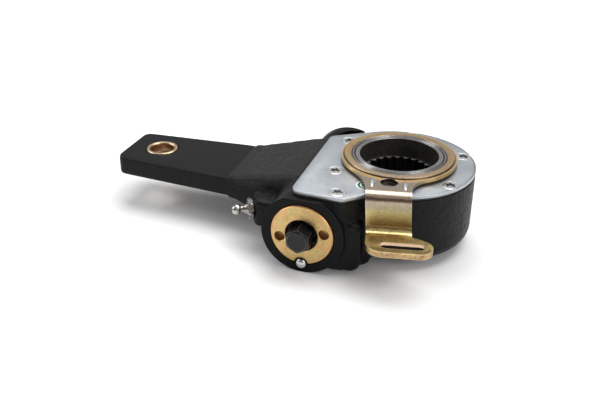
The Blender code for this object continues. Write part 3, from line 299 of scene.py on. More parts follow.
class Nodes:
    """Short calls for building one material's nodes; lengths are in metres here."""

    def __init__(self, name):
        self.material = bpy.data.materials.new(name)
        self.material.use_nodes = True
        self.tree = self.material.node_tree
        self.shader = self.tree.nodes["Principled BSDF"]
        self.place = self.add("TexCoord").outputs["Object"]
        self.base, self.normal = 0.9, None

    def add(self, kind, inputs=(), **settings):
        """A new node with its settings and inputs; an input can be another node's socket."""
        node = self.tree.nodes.new("ShaderNode" + kind)
        for key, value in settings.items():
            setattr(node, key, value)
        for key, value in dict(inputs).items():
            self.put(node.inputs[key], value)
        return node

    def link(self, source, target):
        self.tree.links.new(source, target)

    def put(self, socket, value):
        if isinstance(value, bpy.types.NodeSocket):
            self.link(value, socket)
        else:
            if socket.type == "RGBA":
                value = (*value, 1) if isinstance(value, tuple) else (value, value, value, 1)
            socket.default_value = value

    def noise(self, scale, detail=3.0, roughness=0.55, stretch=(1, 1, 1), warp=0.0, seed=0.0):
        """Noise whose features are about 1 / scale metres."""
        shift = (seed, seed * 0.7, -seed * 0.3)
        mapping = self.add("Mapping", {"Vector": self.place, "Scale": stretch, "Location": shift})
        inputs = {"Vector": mapping.outputs[0], "Scale": scale, "Detail": detail, "Roughness": roughness}
        return self.add("TexNoise", {**inputs, "Distortion": warp}).outputs["Fac"]

    def rings(self, radius, scale):
        """Noise in rings about 1 / scale metres wide."""
        node = self.add("TexNoise", {"W": radius, "Scale": scale}, noise_dimensions="1D")
        return node.outputs["Fac"]

    def ramp(self, value, *stops):
        """Colours along a value; each stop is its position, red, green and blue."""
        node = self.add("ValToRGB", {"Fac": value})
        while len(node.color_ramp.elements) < len(stops):
            node.color_ramp.elements.new(0.5)
        for element, (position, *colour) in zip(node.color_ramp.elements, stops):
            element.position = position
            element.color = (*colour, 1)
        return node.outputs["Color"]

    def map(self, value, low, high, to_low=0.0, to_high=1.0):
        inputs = {"Value": value, "From Min": low, "From Max": high, "To Min": to_low, "To Max": to_high}
        return self.add("MapRange", inputs).outputs["Result"]

    def math(self, operation, one, two=0.0):
        return self.add("Math", {0: one, 1: two}, operation=operation).outputs[0]

    def times(self, one, two):
        return self.math("MULTIPLY", one, two)

    def mix(self, share, one, two, blend="MIX"):
        inputs = {"Factor": share, 6: one, 7: two}
        return self.add("Mix", inputs, data_type="RGBA", blend_type=blend).outputs[2]

    def cover(self, mask, share, tone):
        """Lays a share of a tone over the base colour where the mask is 1."""
        self.base = self.mix(self.times(mask, share), self.base, tone)

    def tint(self, value, low, high, share, tone):
        """Mixes the base colour towards a tone: not at all where value is low, by share where it is high."""
        self.base = self.mix(self.map(value, low, high, 0.0, share), self.base, tone)

    def axes(self):
        node = self.add("SeparateXYZ")
        self.link(self.place, node.inputs[0])
        return node.outputs

    def radius_from(self, x, y=None, z=None):
        """Distance from an axis; the coordinate left as None runs along it. Metres."""
        parts = []
        for socket, value in zip(self.axes(), (x, y, z)):
            if value is not None:
                offset = self.math("SUBTRACT", socket, value)
                parts.append(self.times(offset, offset))
        return self.math("SQRT", self.math("ADD", *parts))

    def edges(self, radius):
        """1 on convex edges within about radius metres."""
        bevel = self.add("Bevel", {"Radius": radius}, samples=4)
        normal = self.add("NewGeometry").outputs["Normal"]
        dot = self.add("VectorMath", {0: bevel.outputs[0], 1: normal}, operation="DOT_PRODUCT")
        return self.map(self.math("SUBTRACT", 1.0, dot.outputs["Value"]), 0.02, 0.2)

    def bump(self, height, distance, strength):
        """Adds to the bumps so far."""
        inputs = {"Strength": strength, "Distance": distance, "Height": height}
        if self.normal is not None:
            inputs["Normal"] = self.normal
        self.normal = self.add("Bump", inputs).outputs["Normal"]

    def done(self, roughness, metallic=0.0, specular=0.5):
        """Sets the shader; the colour and the bumps are those that the calls before it made."""
        inputs = {"Base Color": self.base, "Roughness": roughness, "Metallic": metallic}
        inputs["Specular IOR Level"] = specular
        if self.normal is not None:
            inputs["Normal"] = self.normal
        for name, value in inputs.items():
            self.put(self.shader.inputs[name], value)
        return self.material


def black_paint():
    """Semi-gloss black paint over cast iron, with a pebbled surface, pale specks that are partly dust and
    partly painted glints, and a painted sheen high on the arm's root.
    """
    n = Nodes("black_paint_cast")
    lumps = n.noise(520, 4, 0.6)
    grain = n.noise(1500, 4, 0.65)
    broad = n.noise(55, 3)
    n.base = n.mix(n.map(broad, 0.35, 0.7), (0.0035, 0.0035, 0.0038), (0.007, 0.007, 0.0073))
    # Pale specks: partly dust, partly painted glints on the pebbled paint.
    dust_and_glints = n.map(n.noise(1100, 5, 0.7, seed=3), 0.60, 0.74)
    n.cover(dust_and_glints, 0.4, (0.045, 0.044, 0.044))
    x, _, z = n.axes()
    # Painted sheen: left of x = -44 mm and above z = 28.5 mm the casting is lightened with grain, standing in
    # for light on the pebbled top of the arm's root.
    painted_top_sheen = n.times(n.map(x, -0.044, -0.050), n.map(z, 0.0285, 0.0325))
    n.base = n.mix(n.times(painted_top_sheen, n.map(grain, 0.35, 0.65, 0.35, 0.95)), n.base, (0.030, 0.030, 0.029))
    rough = n.map(lumps, 0.3, 0.7, 0.36, 0.52)
    n.bump(lumps, 0.00032, 0.75)
    n.bump(grain, 0.00009, 0.55)
    return n.done(rough, 0.0, specular=0.14)


def machined_paint():
    """The same paint over milled faces: flatter, with faint milling marks, painted light on the arm's milled
    top and a painted highlight on the edges.
    """
    n = Nodes("black_paint_milled")
    grain = n.noise(2600, 3, 0.6)
    marks = n.noise(900, 2, 0.5, stretch=(1, 0.08, 1))
    broad = n.noise(40, 3)
    n.base = n.mix(n.map(broad, 0.35, 0.7), (0.004, 0.004, 0.0042), (0.007, 0.007, 0.0073))
    # Painted light: left of x = -94 mm the arm's milled top is lighter than the barrel's turned ends.
    n.tint(n.axes()[0], -0.090, -0.094, 0.6, (0.016, 0.016, 0.0165))
    # Painted highlight along the convex edges, partly standing for worn paint.
    n.cover(n.edges(0.0007), 0.6, (0.045, 0.045, 0.047))
    rough = n.map(n.noise(160, 4), 0.3, 0.7, 0.33, 0.42)
    n.bump(marks, 0.00002, 0.3)
    n.bump(grain, 0.00003, 0.3)
    return n.done(rough, 0.0, specular=0.10)


def disc_zinc():
    """Yellow passivated zinc on the front disc: pale gold with rosy and greenish clouds and a copper rim,
    with painted shade in and round the pin's hole and at the inner bore.
    """
    n = Nodes("yellow_zinc_disc")
    clouds = n.noise(150, 6, 0.66, warp=0.8)
    fine = n.noise(1300, 4, 0.7)
    n.base = n.ramp(
        n.noise(170, 6, 0.68, warp=1.2, seed=7),
        (0.38, 0.36, 0.34, 0.14), (0.46, 0.52, 0.41, 0.16), (0.54, 0.58, 0.40, 0.17),
        (0.62, 0.60, 0.32, 0.16),
    )
    n.tint(clouds, 0.48, 0.62, 0.6, (0.36, 0.24, 0.09))
    n.tint(n.axes()[0], -0.036, -0.021, 0.6, (0.42, 0.26, 0.10))
    n.tint(fine, 0.56, 0.68, 0.6, (0.20, 0.13, 0.06))
    n.tint(n.noise(1500, 4, 0.75, seed=2), 0.54, 0.68, 0.4, (0.78, 0.64, 0.38))
    radius = n.radius_from(WORM_X * MM, None, WORM_Z * MM)
    n.tint(radius, 0.0158, 0.0170, 0.85, (0.68, 0.35, 0.16))
    # Painted shade: the pin's hole and a ring round it are nearly black.
    pin = n.radius_from(WORM_X * MM, None, (WORM_Z - PIN_DROP) * MM)
    n.tint(pin, 0.0046, 0.0037, 0.95, (0.025, 0.018, 0.013))
    # Painted shade: darker brown at the inner bore, inside 9.8 mm.
    n.tint(radius, 0.0098, 0.0086, 0.7, (0.36, 0.20, 0.09))
    rough = n.map(fine, 0.3, 0.7, 0.26, 0.42)
    n.bump(n.noise(500, 3, 0.5), 0.00005, 0.3)
    n.bump(fine, 0.000014, 0.4)
    return n.done(rough, 1.0)


def arm_zinc():
    """The control arm's plating: gold ring, violet neck and olive strap, with painted highlights at its
    bends, painted dark reflections in brown bands beside them, painted light on the ring's sides and painted
    shadow under its edges.
    """
    n = Nodes("yellow_zinc_arm")
    x, y, z = n.axes()
    radius = n.radius_from(0.0, 0.0)
    fine = n.noise(1300, 4, 0.7)
    streaks = n.noise(900, 4, 0.65, stretch=(1.6, 1.6, 0.07))
    sway = n.map(n.noise(190, 3, 0.6, seed=5), 0.3, 0.7, -0.0003, 0.0003)
    # Colours by height: painted highlights at the foot's bend (stops 0.13 to 0.205) and the neck's bend
    # (0.91), with painted dark reflections in the brown bands beside them (0.225 to 0.265 and 0.845 to
    # 0.875); between them the strap's tone changes with height.
    n.base = n.ramp(
        n.map(n.math("ADD", z, sway), 0.0245, 0.0495),
        (0.00, 0.46, 0.31, 0.16), (0.11, 0.50, 0.34, 0.18), (0.13, 0.82, 0.60, 0.24),
        (0.17, 0.98, 0.80, 0.36), (0.205, 0.90, 0.70, 0.28), (0.225, 0.32, 0.19, 0.07),
        (0.265, 0.34, 0.21, 0.08), (0.33, 0.44, 0.32, 0.12), (0.52, 0.56, 0.44, 0.17),
        (0.61, 0.50, 0.41, 0.20), (0.67, 0.38, 0.34, 0.22), (0.80, 0.40, 0.35, 0.26),
        (0.845, 0.26, 0.16, 0.12), (0.875, 0.18, 0.10, 0.08), (0.91, 0.62, 0.46, 0.35),
        (0.97, 0.42, 0.35, 0.29),
    )
    n.base = n.mix(n.map(streaks, 0.42, 0.72, 0.0, 0.15), n.base, (0.62, 0.50, 0.30), "MULTIPLY")
    n.tint(n.noise(1500, 4, 0.75, seed=2), 0.53, 0.66, 0.55, (0.74, 0.60, 0.44))
    n.tint(n.noise(1250, 4, 0.75, seed=9), 0.53, 0.66, 0.45, (0.20, 0.14, 0.07))
    stain = n.times(n.map(n.noise(230, 4, 0.65, seed=4), 0.42, 0.62), n.map(z, 0.0286, 0.0281))
    n.cover(stain, 0.6, (0.34, 0.21, 0.08))
    specks = n.times(n.map(n.noise(620, 4, 0.75, seed=6), 0.54, 0.60), n.map(z, 0.0275, 0.0271))
    n.cover(specks, 0.8, (0.07, 0.04, 0.03))
    # Painted highlight: the bead tops, standing above the sheet, are tinted bluish white.
    beads = n.times(n.map(z, 0.0492, 0.0496), n.map(radius, 0.0310, 0.0315))
    n.cover(beads, 0.85, (0.66, 0.72, 0.76))
    strap = n.base
    n.base = n.ramp(
        n.noise(110, 6, 0.66, warp=1.0, seed=7),
        (0.36, 0.50, 0.42, 0.22), (0.46, 0.64, 0.46, 0.20), (0.54, 0.68, 0.40, 0.16),
        (0.62, 0.56, 0.34, 0.20),
    )
    # Painted light: the ring is tinted duller toward its right side and lighter toward its front.
    n.tint(x, 0.006, 0.028, 0.6, (0.50, 0.37, 0.25))
    n.tint(y, -0.010, -0.024, 0.85, (0.66, 0.50, 0.35))
    wander = n.map(n.noise(60, 3, 0.6, seed=11), 0.3, 0.7, -0.0012, 0.0012)
    lines = n.rings(n.math("ADD", radius, wander), 1100)
    n.tint(lines, 0.46, 0.62, 0.5, (0.36, 0.25, 0.15))
    n.tint(n.noise(1500, 4, 0.75, seed=2), 0.54, 0.68, 0.35, (0.80, 0.62, 0.42))
    n.tint(radius, 0.0271, 0.0265, 0.6, (0.34, 0.27, 0.20))
    # Painted shadow: a dark line just outside the lip; past it a painted highlight makes the sheet's outer
    # rim bright gold.
    n.tint(radius, 0.0298, 0.0301, 0.9, (0.10, 0.06, 0.035))
    n.tint(radius, 0.0305, 0.0310, 0.95, (0.74, 0.52, 0.24))
    n.base = n.mix(n.map(n.math("ADD", radius, sway), 0.0322, 0.0345), n.base, strap)
    out = n.math("SUBTRACT", n.times(x, 0.1994), n.times(y, 0.9799))
    rough = n.map(fine, 0.3, 0.7, 0.24, 0.40)
    n.bump(n.noise(500, 3, 0.5), 0.00004, 0.25)
    n.bump(fine, 0.000012, 0.35)
    # Painted shade: the top of the foot in front of the slot is darkened.
    tip = n.times(n.map(out, 0.0632, 0.0650), n.map(z, 0.0276, 0.0279))
    n.cover(tip, 0.62, (0.12, 0.085, 0.03))
    # Painted highlight along the convex edges.
    n.cover(n.edges(0.00045), 0.9, (0.98, 0.84, 0.66))
    # Painted shadow: below z 47.4 mm the sheet's side walls and underside, short of the neck's bend, are
    # nearly black.
    under = n.times(n.map(z, 0.0474, 0.0470), n.map(out, 0.0440, 0.0436))
    n.cover(under, 0.93, (0.03, 0.022, 0.015))
    return n.done(rough, 1.0)


def hole_wall_shade_zinc():
    """Walls of the control arm's holes, with painted shade: black low in the slot, darkening toward the top
    in the neck hole.
    """
    n = Nodes("yellow_zinc_hole_wall_painted_shade")
    z = n.axes()[2]
    wavy_z = n.math("ADD", z, n.map(n.noise(700, 3, 0.6), 0.3, 0.7, -0.00012, 0.00012))
    # Painted shade: in the slot the walls turn black below about 26 mm and are light above it; in the neck
    # hole they darken above about 47 mm.
    foot = n.ramp(n.map(wavy_z, 0.0245, 0.0285), (0.38, 0.012, 0.010, 0.009), (0.48, 0.86, 0.62, 0.42))
    neck = n.ramp(n.map(wavy_z, 0.0457, 0.0492), (0.30, 0.16, 0.13, 0.10), (0.60, 0.05, 0.035, 0.025))
    n.base = n.mix(n.map(z, 0.035, 0.036), foot, neck)
    n.bump(n.noise(1500, 3), 0.00003, 0.4)
    return n.done(0.42, 1.0)


def galvanised():
    """Zinc-coated sheet: pale with soft spangle and fine scratches, a painted highlight on its edges and a
    thin dark band near its round edge.
    """
    n = Nodes("galvanised_sheet")
    cells = n.add("TexVoronoi", {"Vector": n.place, "Scale": 260}, feature="SMOOTH_F1")
    broad = n.noise(45, 4, 0.6)
    grain = n.noise(2600, 3, 0.65)
    scratches = n.noise(900, 2, 0.6, stretch=(0.06, 1.4, 1), seed=2)
    n.base = n.mix(n.map(broad, 0.3, 0.7), (0.36, 0.39, 0.42), (0.46, 0.48, 0.50))
    n.tint(cells.outputs["Distance"], 0.2, 0.7, 0.25, (0.56, 0.59, 0.61))
    n.tint(grain, 0.56, 0.72, 0.6, (0.22, 0.24, 0.26))
    radius = n.radius_from(0.0, 0.0)
    x, y, _ = n.axes()
    ahead = n.math("ADD", n.times(x, 0.971), n.times(y, 0.238))
    # A thin dark band is laid just inside the round edge, except toward its left.
    dark_edge_band = n.times(n.map(radius, 0.0406, 0.0411), n.map(radius, 0.0418, 0.0414))
    dark_edge_band = n.times(dark_edge_band, n.map(ahead, -0.0142, -0.0138))
    n.cover(dark_edge_band, 0.55, (0.12, 0.12, 0.13))
    # Painted highlight along the convex edges.
    n.cover(n.edges(0.0002), 0.7, 0.85)
    rough = n.map(grain, 0.3, 0.7, 0.34, 0.52)
    n.bump(scratches, 0.00001, 0.3)
    n.bump(grain, 0.00002, 0.35)
    return n.done(rough, 0.85)


def turned_steel(name, colour, dark, rings):
    """Lathe-turned metal with fine rings round the camshaft's axis."""
    n = Nodes(name)
    wave = n.rings(n.radius_from(0.0, 0.0), rings)
    cloud = n.noise(70, 4, 0.6)
    n.base = n.mix(n.map(cloud, 0.35, 0.7), colour, tuple(c * 0.82 for c in colour))
    n.tint(wave, 0.45, 0.7, 0.5, dark)
    # Painted highlight along the convex edges.
    n.cover(n.edges(0.00018), 0.6, (0.85, 0.84, 0.82))
    n.bump(wave, 0.00002, 0.5)
    return n.done(n.map(cloud, 0.3, 0.7, 0.2, 0.36), 1.0)


def dark_oxide(name, colour, edge_wear_and_highlight, thin=(0.036, 0.032, 0.030)):
    """Black oxide on steel, brown where it is thin, bright at its edges, partly from rubbing and partly as a
    painted highlight.
    """
    n = Nodes(name)
    cloud = n.noise(160, 4, 0.65, warp=0.4)
    fine = n.noise(1900, 3, 0.6)
    n.base = n.mix(n.map(cloud, 0.5, 0.75), colour, thin)
    # Edges: partly wear, partly painted highlight.
    n.cover(n.edges(0.0005), 0.7, edge_wear_and_highlight)
    n.bump(fine, 0.00002, 0.4)
    return n.done(n.map(fine, 0.3, 0.7, 0.30, 0.46), 0.75)


def bore_painted_shade():
    """Painted shade for the counterbore and splines: dark steel, darker below the teeth's top faces, which
    are kept lighter.
    """
    n = Nodes("bore_painted_shade")
    z = n.axes()[2]
    cloud = n.noise(220, 4, 0.65)
    fine = n.noise(1700, 3, 0.6)
    n.base = n.mix(n.map(cloud, 0.4, 0.7), (0.036, 0.034, 0.032), (0.060, 0.056, 0.050))
    ends = n.times(n.map(n.radius_from(0.0, 0.0), 0.0205, 0.0203), n.map(z, 0.03880, 0.03888))
    # Painted shade: darker still below the teeth's top faces.
    n.tint(z, 0.0388, 0.0384, 0.9, 0.008)
    n.cover(ends, 0.9, (0.26, 0.25, 0.24))
    n.bump(fine, 0.000008, 0.2)
    return n.done(0.42, 0.4, specular=0.15)


def bright_zinc(name, colour, dull=(0.52, 0.53, 0.56)):
    """Bright zinc on small steel pieces."""
    n = Nodes(name)
    cloud = n.noise(260, 4, 0.6)
    fine = n.noise(2400, 3, 0.6)
    n.base = n.mix(n.map(cloud, 0.4, 0.75), colour, dull)
    # Painted highlight along the convex edges.
    n.cover(n.edges(0.00025), 0.6, 0.93)
    n.bump(fine, 0.00001, 0.4)
    return n.done(n.map(fine, 0.3, 0.7, 0.16, 0.30), 1.0)


def bronze():
    """Plain bearing bronze, darker brown in its bore and at its mouths, with a painted highlight on its
    edges.
    """
    n = Nodes("bearing_bronze")
    cloud = n.noise(300, 5, 0.65)
    fine = n.noise(2000, 3, 0.6)
    n.base = n.mix(n.map(cloud, 0.35, 0.7), (0.74, 0.60, 0.40), (0.54, 0.41, 0.24))
    bore = n.radius_from(CLEVIS_X * MM, ARM_CENTRE_Y * MM)
    n.tint(bore, 0.0075, 0.0072, 0.8, (0.36, 0.20, 0.10))
    # Painted highlight along the convex edges.
    n.cover(n.edges(0.0003), 0.5, (0.90, 0.78, 0.56))
    n.bump(fine, 0.00002, 0.4)
    return n.done(n.map(fine, 0.3, 0.7, 0.26, 0.42), 1.0)


def plain_soft(name, colour, rough):
    """Rubber and gasket paper."""
    n = Nodes(name)
    fine = n.noise(1500, 4, 0.65)
    n.base = n.mix(n.map(fine, 0.35, 0.7), colour, tuple(min(1, c * 1.8) for c in colour))
    n.bump(fine, 0.00002, 0.4)
    return n.done(rough, 0.0)


CAST = black_paint()
MILLED = machined_paint()
ZINC_ARM = arm_zinc()
ZINC_WALL_SHADE = hole_wall_shade_zinc()
ZINC_DISC = disc_zinc()
ZINC_DEEP = dark_oxide("yellow_zinc_deep", (0.46, 0.25, 0.10), (0.80, 0.50, 0.22), (0.30, 0.15, 0.05))
SHEET = galvanised()
HUB_STEEL = turned_steel("turned_hub_steel", (0.45, 0.43, 0.43), (0.20, 0.19, 0.20), 2600)
DISC_STEEL = turned_steel("turned_disc_steel", (0.40, 0.385, 0.39), (0.16, 0.15, 0.16), 3200)
BORE_SHADE = bore_painted_shade()
OXIDE = dark_oxide("black_oxide_steel", (0.022, 0.022, 0.024), (0.42, 0.40, 0.38))
BRIGHT = bright_zinc("bright_zinc_steel", (0.72, 0.73, 0.75))
SCREW_ZINC = bright_zinc("screw_zinc", 0.95, (0.78, 0.78, 0.79))
# Painted shade: the screws' recesses get a near-black material.
RECESS_SHADE = dark_oxide("screw_recess_painted_shade", 0.05, 0.45)
NIPPLE_ZINC = bright_zinc("nipple_zinc", (0.52, 0.51, 0.49), (0.20, 0.16, 0.13))
PIN_STEEL = bright_zinc("pin_steel", (0.62, 0.62, 0.63))
BRONZE = bronze()
RUBBER = plain_soft("seal_rubber", (0.014, 0.014, 0.015), 0.5)
PAPER = plain_soft("gasket_paper_grey", (0.035, 0.035, 0.035), 0.85)


# ---- housing


LOBE_BACK, LOBE_FRONT = radians(123.3), radians(-95.7)
BODY_LEFT = -45.2
CAST_EDGE = 6.0


def lobe_corners():
    """Corners of the lobe over the worm, from the ring's back round to the ring's front."""
    back = Vector(polar(1, LOBE_BACK)) * RING_R
    run = Vector((-sin(LOBE_BACK), cos(LOBE_BACK)))
    back_left = back + run * (BODY_LEFT - back.x) / run.x
    front = Vector(polar(1, LOBE_FRONT)) * RING_R
    return [back, back_left, Vector((BODY_LEFT, -53.4)), Vector((-16.8, -54.0)), front]


def lobe_outline(corners, inset=0.0):
    back, back_left, front_left, front_right, front = map(tuple, corners)
    radius = CAST_EDGE - inset / 2
    path = [back, (*back_left, radius), (*front_left, radius), (*front_right, radius / 2), front]
    return rounded_path(path, 0, 8)[1:-1]


def cover_outline():
    points = lobe_outline(lobe_corners())
    return points + arc((0, 0), RING_R, LOBE_FRONT, LOBE_BACK, 110)


def block_solid(top):
    corners = [tuple(corner) for corner in lobe_corners()] + [(0, 0)]
    layers = []
    for angle in QUARTER_TURN:
        inset = CAST_EDGE * (1 - sin(angle))
        height = 0.3 + CAST_EDGE * (1 - cos(angle))
        drawn = [Vector(corner) for corner in offset_outline(corners, -inset)]
        outline = lobe_outline(drawn[:5], inset) + [tuple(drawn[4]), tuple(drawn[5]), tuple(drawn[0])]
        layers.append([(x, y, height) for x, y in outline])
    layers.append([(x, y, top) for x, y, _ in layers[-1]])
    return loft(layers)


ARM_LOW, ARM_HIGH = ARM_Z - 6.0, ARM_Z + 6.0
ARM_END = -165.9
ROOT_START = ARM_END + 70.0
FACE_END = ROOT_START + 3.2


def arm_solid():
    """The lever arm, from its free end to well inside the body."""

    def section(x, near, far, low, high, edge):
        corners = [(near, low), (far, low), (far, high), (near, high)]
        return [(x, y, z) for y, z in rounded_path(corners, edge, 5, closed=True)]

    def half_width(x):
        return 20.6 + 0.07 * (min(x, ROOT_START) - CLEVIS_X)

    def flat(x, shrink=0.0):
        half = half_width(x) - shrink
        return section(x, ARM_CENTRE_Y - half, ARM_CENTRE_Y + half, ARM_LOW, ARM_HIGH, 2.2)

    layers = []
    for angle in QUARTER_TURN:
        layers.append(flat(ARM_END + 4.0 * (1 - cos(angle)), 4.0 * (1 - sin(angle))))
    for step in range(1, 13):
        layers.append(flat(ARM_END + 4.0 + (FACE_END - ARM_END - 4.0) * step / 12))
    half = half_width(ROOT_START)
    free = (ARM_CENTRE_Y - half, ARM_CENTRE_Y + half, ARM_LOW - 0.6, ARM_HIGH + 0.6)
    root = (-33.4, 26.0, 6.0, DECK + 0.6)
    shares, lifts = (0.0, 0.16, 0.38, 0.6, 0.82, 1.0), (0.0, 0.07, 0.33, 0.6, 0.86, 1.0)
    for step in range(41):
        x = FACE_END + 0.7 + (step / 40) * (BODY_LEFT - FACE_END - 0.7)
        lift = float(np.interp((x - ROOT_START) / (BODY_LEFT - ROOT_START), shares, lifts))
        sides = [one * (1 - lift) + two * lift for one, two in zip(free, root)]
        layers.append(section(x, *sides, 2.2 + 2.0 * lift))
    layers.append(section(WORM_X, *root, 4.2))
    return loft(layers)


def lug_solid():
    """Lower front corner of the casting, beside the barrel."""
    layers = []
    for angle in QUARTER_TURN:
        inset = CAST_EDGE * (1 - sin(angle))
        height = 0.6 + CAST_EDGE * (1 - cos(angle))
        right, front = -7.4 - inset, -53.2 + inset
        corners = [(WORM_X, -30.3), (WORM_X, front), (right, front, 5.0 - inset / 2), (right, -30.3)]
        outline = [corners[0]] + rounded_path(corners, 0, 8)[1:-1] + [corners[-1]]
        layers.append([(x, y, height) for x, y in outline])
    side = [(x, y) for x, y, _ in layers[-1]]
    for turn in range(0, 91, 18):
        angle = radians(turn)
        top = offset_outline(side, -2.2 * (1 - cos(angle)))
        layers.append([(x, y, 28.8 + 2.2 * sin(angle)) for x, y in top])
    return loft(layers)


def boss_solid():
    """Boss that the grease nipple screws into, with its slanted face."""
    outline = [(-73.88, -34.29), (-68.72, -44.0), (WORM_X, -44.0), (WORM_X, -1.3), (-73.88, -1.3)]
    boss = prism(outline, 14.4, 30.2)
    bmesh.ops.bevel(boss, geom=boss.edges[:], offset=2.2, segments=4, profile=0.5, affect="EDGES")
    return boss


def casting_mesh():
    """The raw casting: every body overlapped, remeshed as one skin, softened and pebbled."""
    bottom_fillet = arc((RING_R - 7.0, 4.8 + 7.0), 7.0, -pi / 2, 0, 12)
    ring = [(29.2, 0.0), (30.0, 0.8), (30.0, 4.8)] + bottom_fillet + [(RING_R, DECK + 2)]
    barrel = [(22.5, BARREL_REAR - 2), (22.5, -31.4), (21.8, -30.7)]
    barrel += [(21.8, 49.4), (22.5, 50.1), (22.5, BARREL_FRONT + 2)]
    whole = bmesh.new()
    solids = [lathe(ring, 192), on_worm_line(lathe(barrel, 160)), block_solid(DECK + 2)]
    for solid in solids + [lug_solid(), arm_solid(), boss_solid()]:
        bmesh.ops.recalc_face_normals(solid, faces=solid.faces)
        part = bpy.data.meshes.new("part")
        solid.to_mesh(part)
        solid.free()
        whole.from_mesh(part)
        bpy.data.meshes.remove(part)
    body = new_object("casting", to_mesh("casting", whole, recalc=False))
    modify(body, "skin", "REMESH", mode="VOXEL", voxel_size=0.55 * MM)
    modify(body, "soften", "SMOOTH", factor=0.5, iterations=10)
    mesh = baked(body)
    pebble(mesh)
    return mesh


def pebble(mesh):
    """Lumps of the sand mould, away from the milled end of the arm and the turned ends of the barrel."""
    count = len(mesh.vertices)
    places = np.empty(count * 3)
    normals = np.empty(count * 3)
    mesh.vertices.foreach_get("co", places)
    mesh.vertex_normals.foreach_get("vector", normals)
    places, normals = places.reshape(-1, 3), normals.reshape(-1, 3)
    for index in range(count):
        x, y, z = places[index] / MM
        along = max(0.0, min(1.0, (x - FACE_END - 0.4) / 2.0))
        turned = hypot(x - WORM_X, z - WORM_Z) < 23.2 and (y < -49.0 or y > 31.0)
        if turned or z < 1.0 or along <= 0:
            continue
        lumps = noise.noise(Vector((x, y, z)) * 0.55) * 0.18
        lumps += noise.noise(Vector((x + 40, y, z)) * 1.3) * 0.11
        lumps += noise.noise(Vector((x, y + 90, z)) * 0.16) * 0.18
        places[index] += normals[index] * (min(lumps, 0.1) * along * MM)
    mesh.vertices.foreach_set("co", places.reshape(-1))
    mesh.update()


def housing_piece():
    """Machines the raw casting: deck, ends, bores, seats and screw holes."""
    front_chamfer = [(22.2, 57.4), (24.5, 55.1), (24.5, 58.5), (22.2, 58.5)]
    chamber = [
        (24.6, -3), (24.6, 6.0), (26.55, 6.0), (26.55, 8.6), (24.6, 8.6), (24.6, 12.5), (31.0, 12.5),
        (31.0, 31.8), (33.2, 31.8), (33.2, DECK + 3),
    ]
    seat_r = 17.5
    worm_line = [
        (16.6, -45), (16.6, -38.0), (16.0, -37.4), (16.0, -22), (12, -22), (12, 24), (15, 24), (15, 49.2),
        (seat_r, 49.2), (seat_r, 56.7), (seat_r + 0.4, BARREL_FRONT), (seat_r + 0.4, 60),
    ]
    way = lathe([(3.3, -3), (3.3, 8.3), (1.5, 9.3), (1.5, 34.1)], 32)
    way.transform(NIPPLE)
    seat = [(10.2, -10), (10.2, -6), (9.75, -5.2), (9.75, 5.2), (10.2, 6), (10.2, 10)]
    bores = [
        prism(offset_outline(cover_outline(), 6.0), DECK, DECK + 12),
        on_worm_line(box((-30, -30, BARREL_FRONT), (30, 30, 70))),
        on_worm_line(box((-30, -30, -52), (30, 30, BARREL_REAR))),
        on_worm_line(lathe(front_chamfer, 128, hollow=True)),
        lathe(chamber),
        on_worm_line(lathe(worm_line, 128)),
        box((-51.7, -33.3, 33.6), (8.1, -27.7, 38.5)),
        shifted(lathe(seat, 96), CLEVIS_X, ARM_CENTRE_Y, ARM_Z),
        on_worm_line(shifted(rod(3.15, 49.2, 60, 48), 0, -PIN_DROP)),
        way,
    ]
    bores += [shifted(rod(2.1, 35.0, DECK + 5, 24), x, y) for x, y in SCREWS]
    mesh = combine("housing_casting", casting_mesh(), bores=bores)

    def milled(x, y, z, level):
        ends = hypot(x - WORM_X, z - WORM_Z) < 23.0 and (y < -50.5 or y > 31.5)
        return x < FACE_END and level > 0.97 or ends

    finish_piece("housing_casting", mesh, [CAST, MILLED], ["housing"], angle=35, second=milled)


SCREW_CIRCLE = 37.65
SCREWS = [polar(SCREW_CIRCLE, radians(turn)) for turn in (29, 90, 151.6, 217.8, 274.6, 328)]
SCREWS.append((-21.4, -47.2))

housing_piece()


# ---- cover, gasket and screws


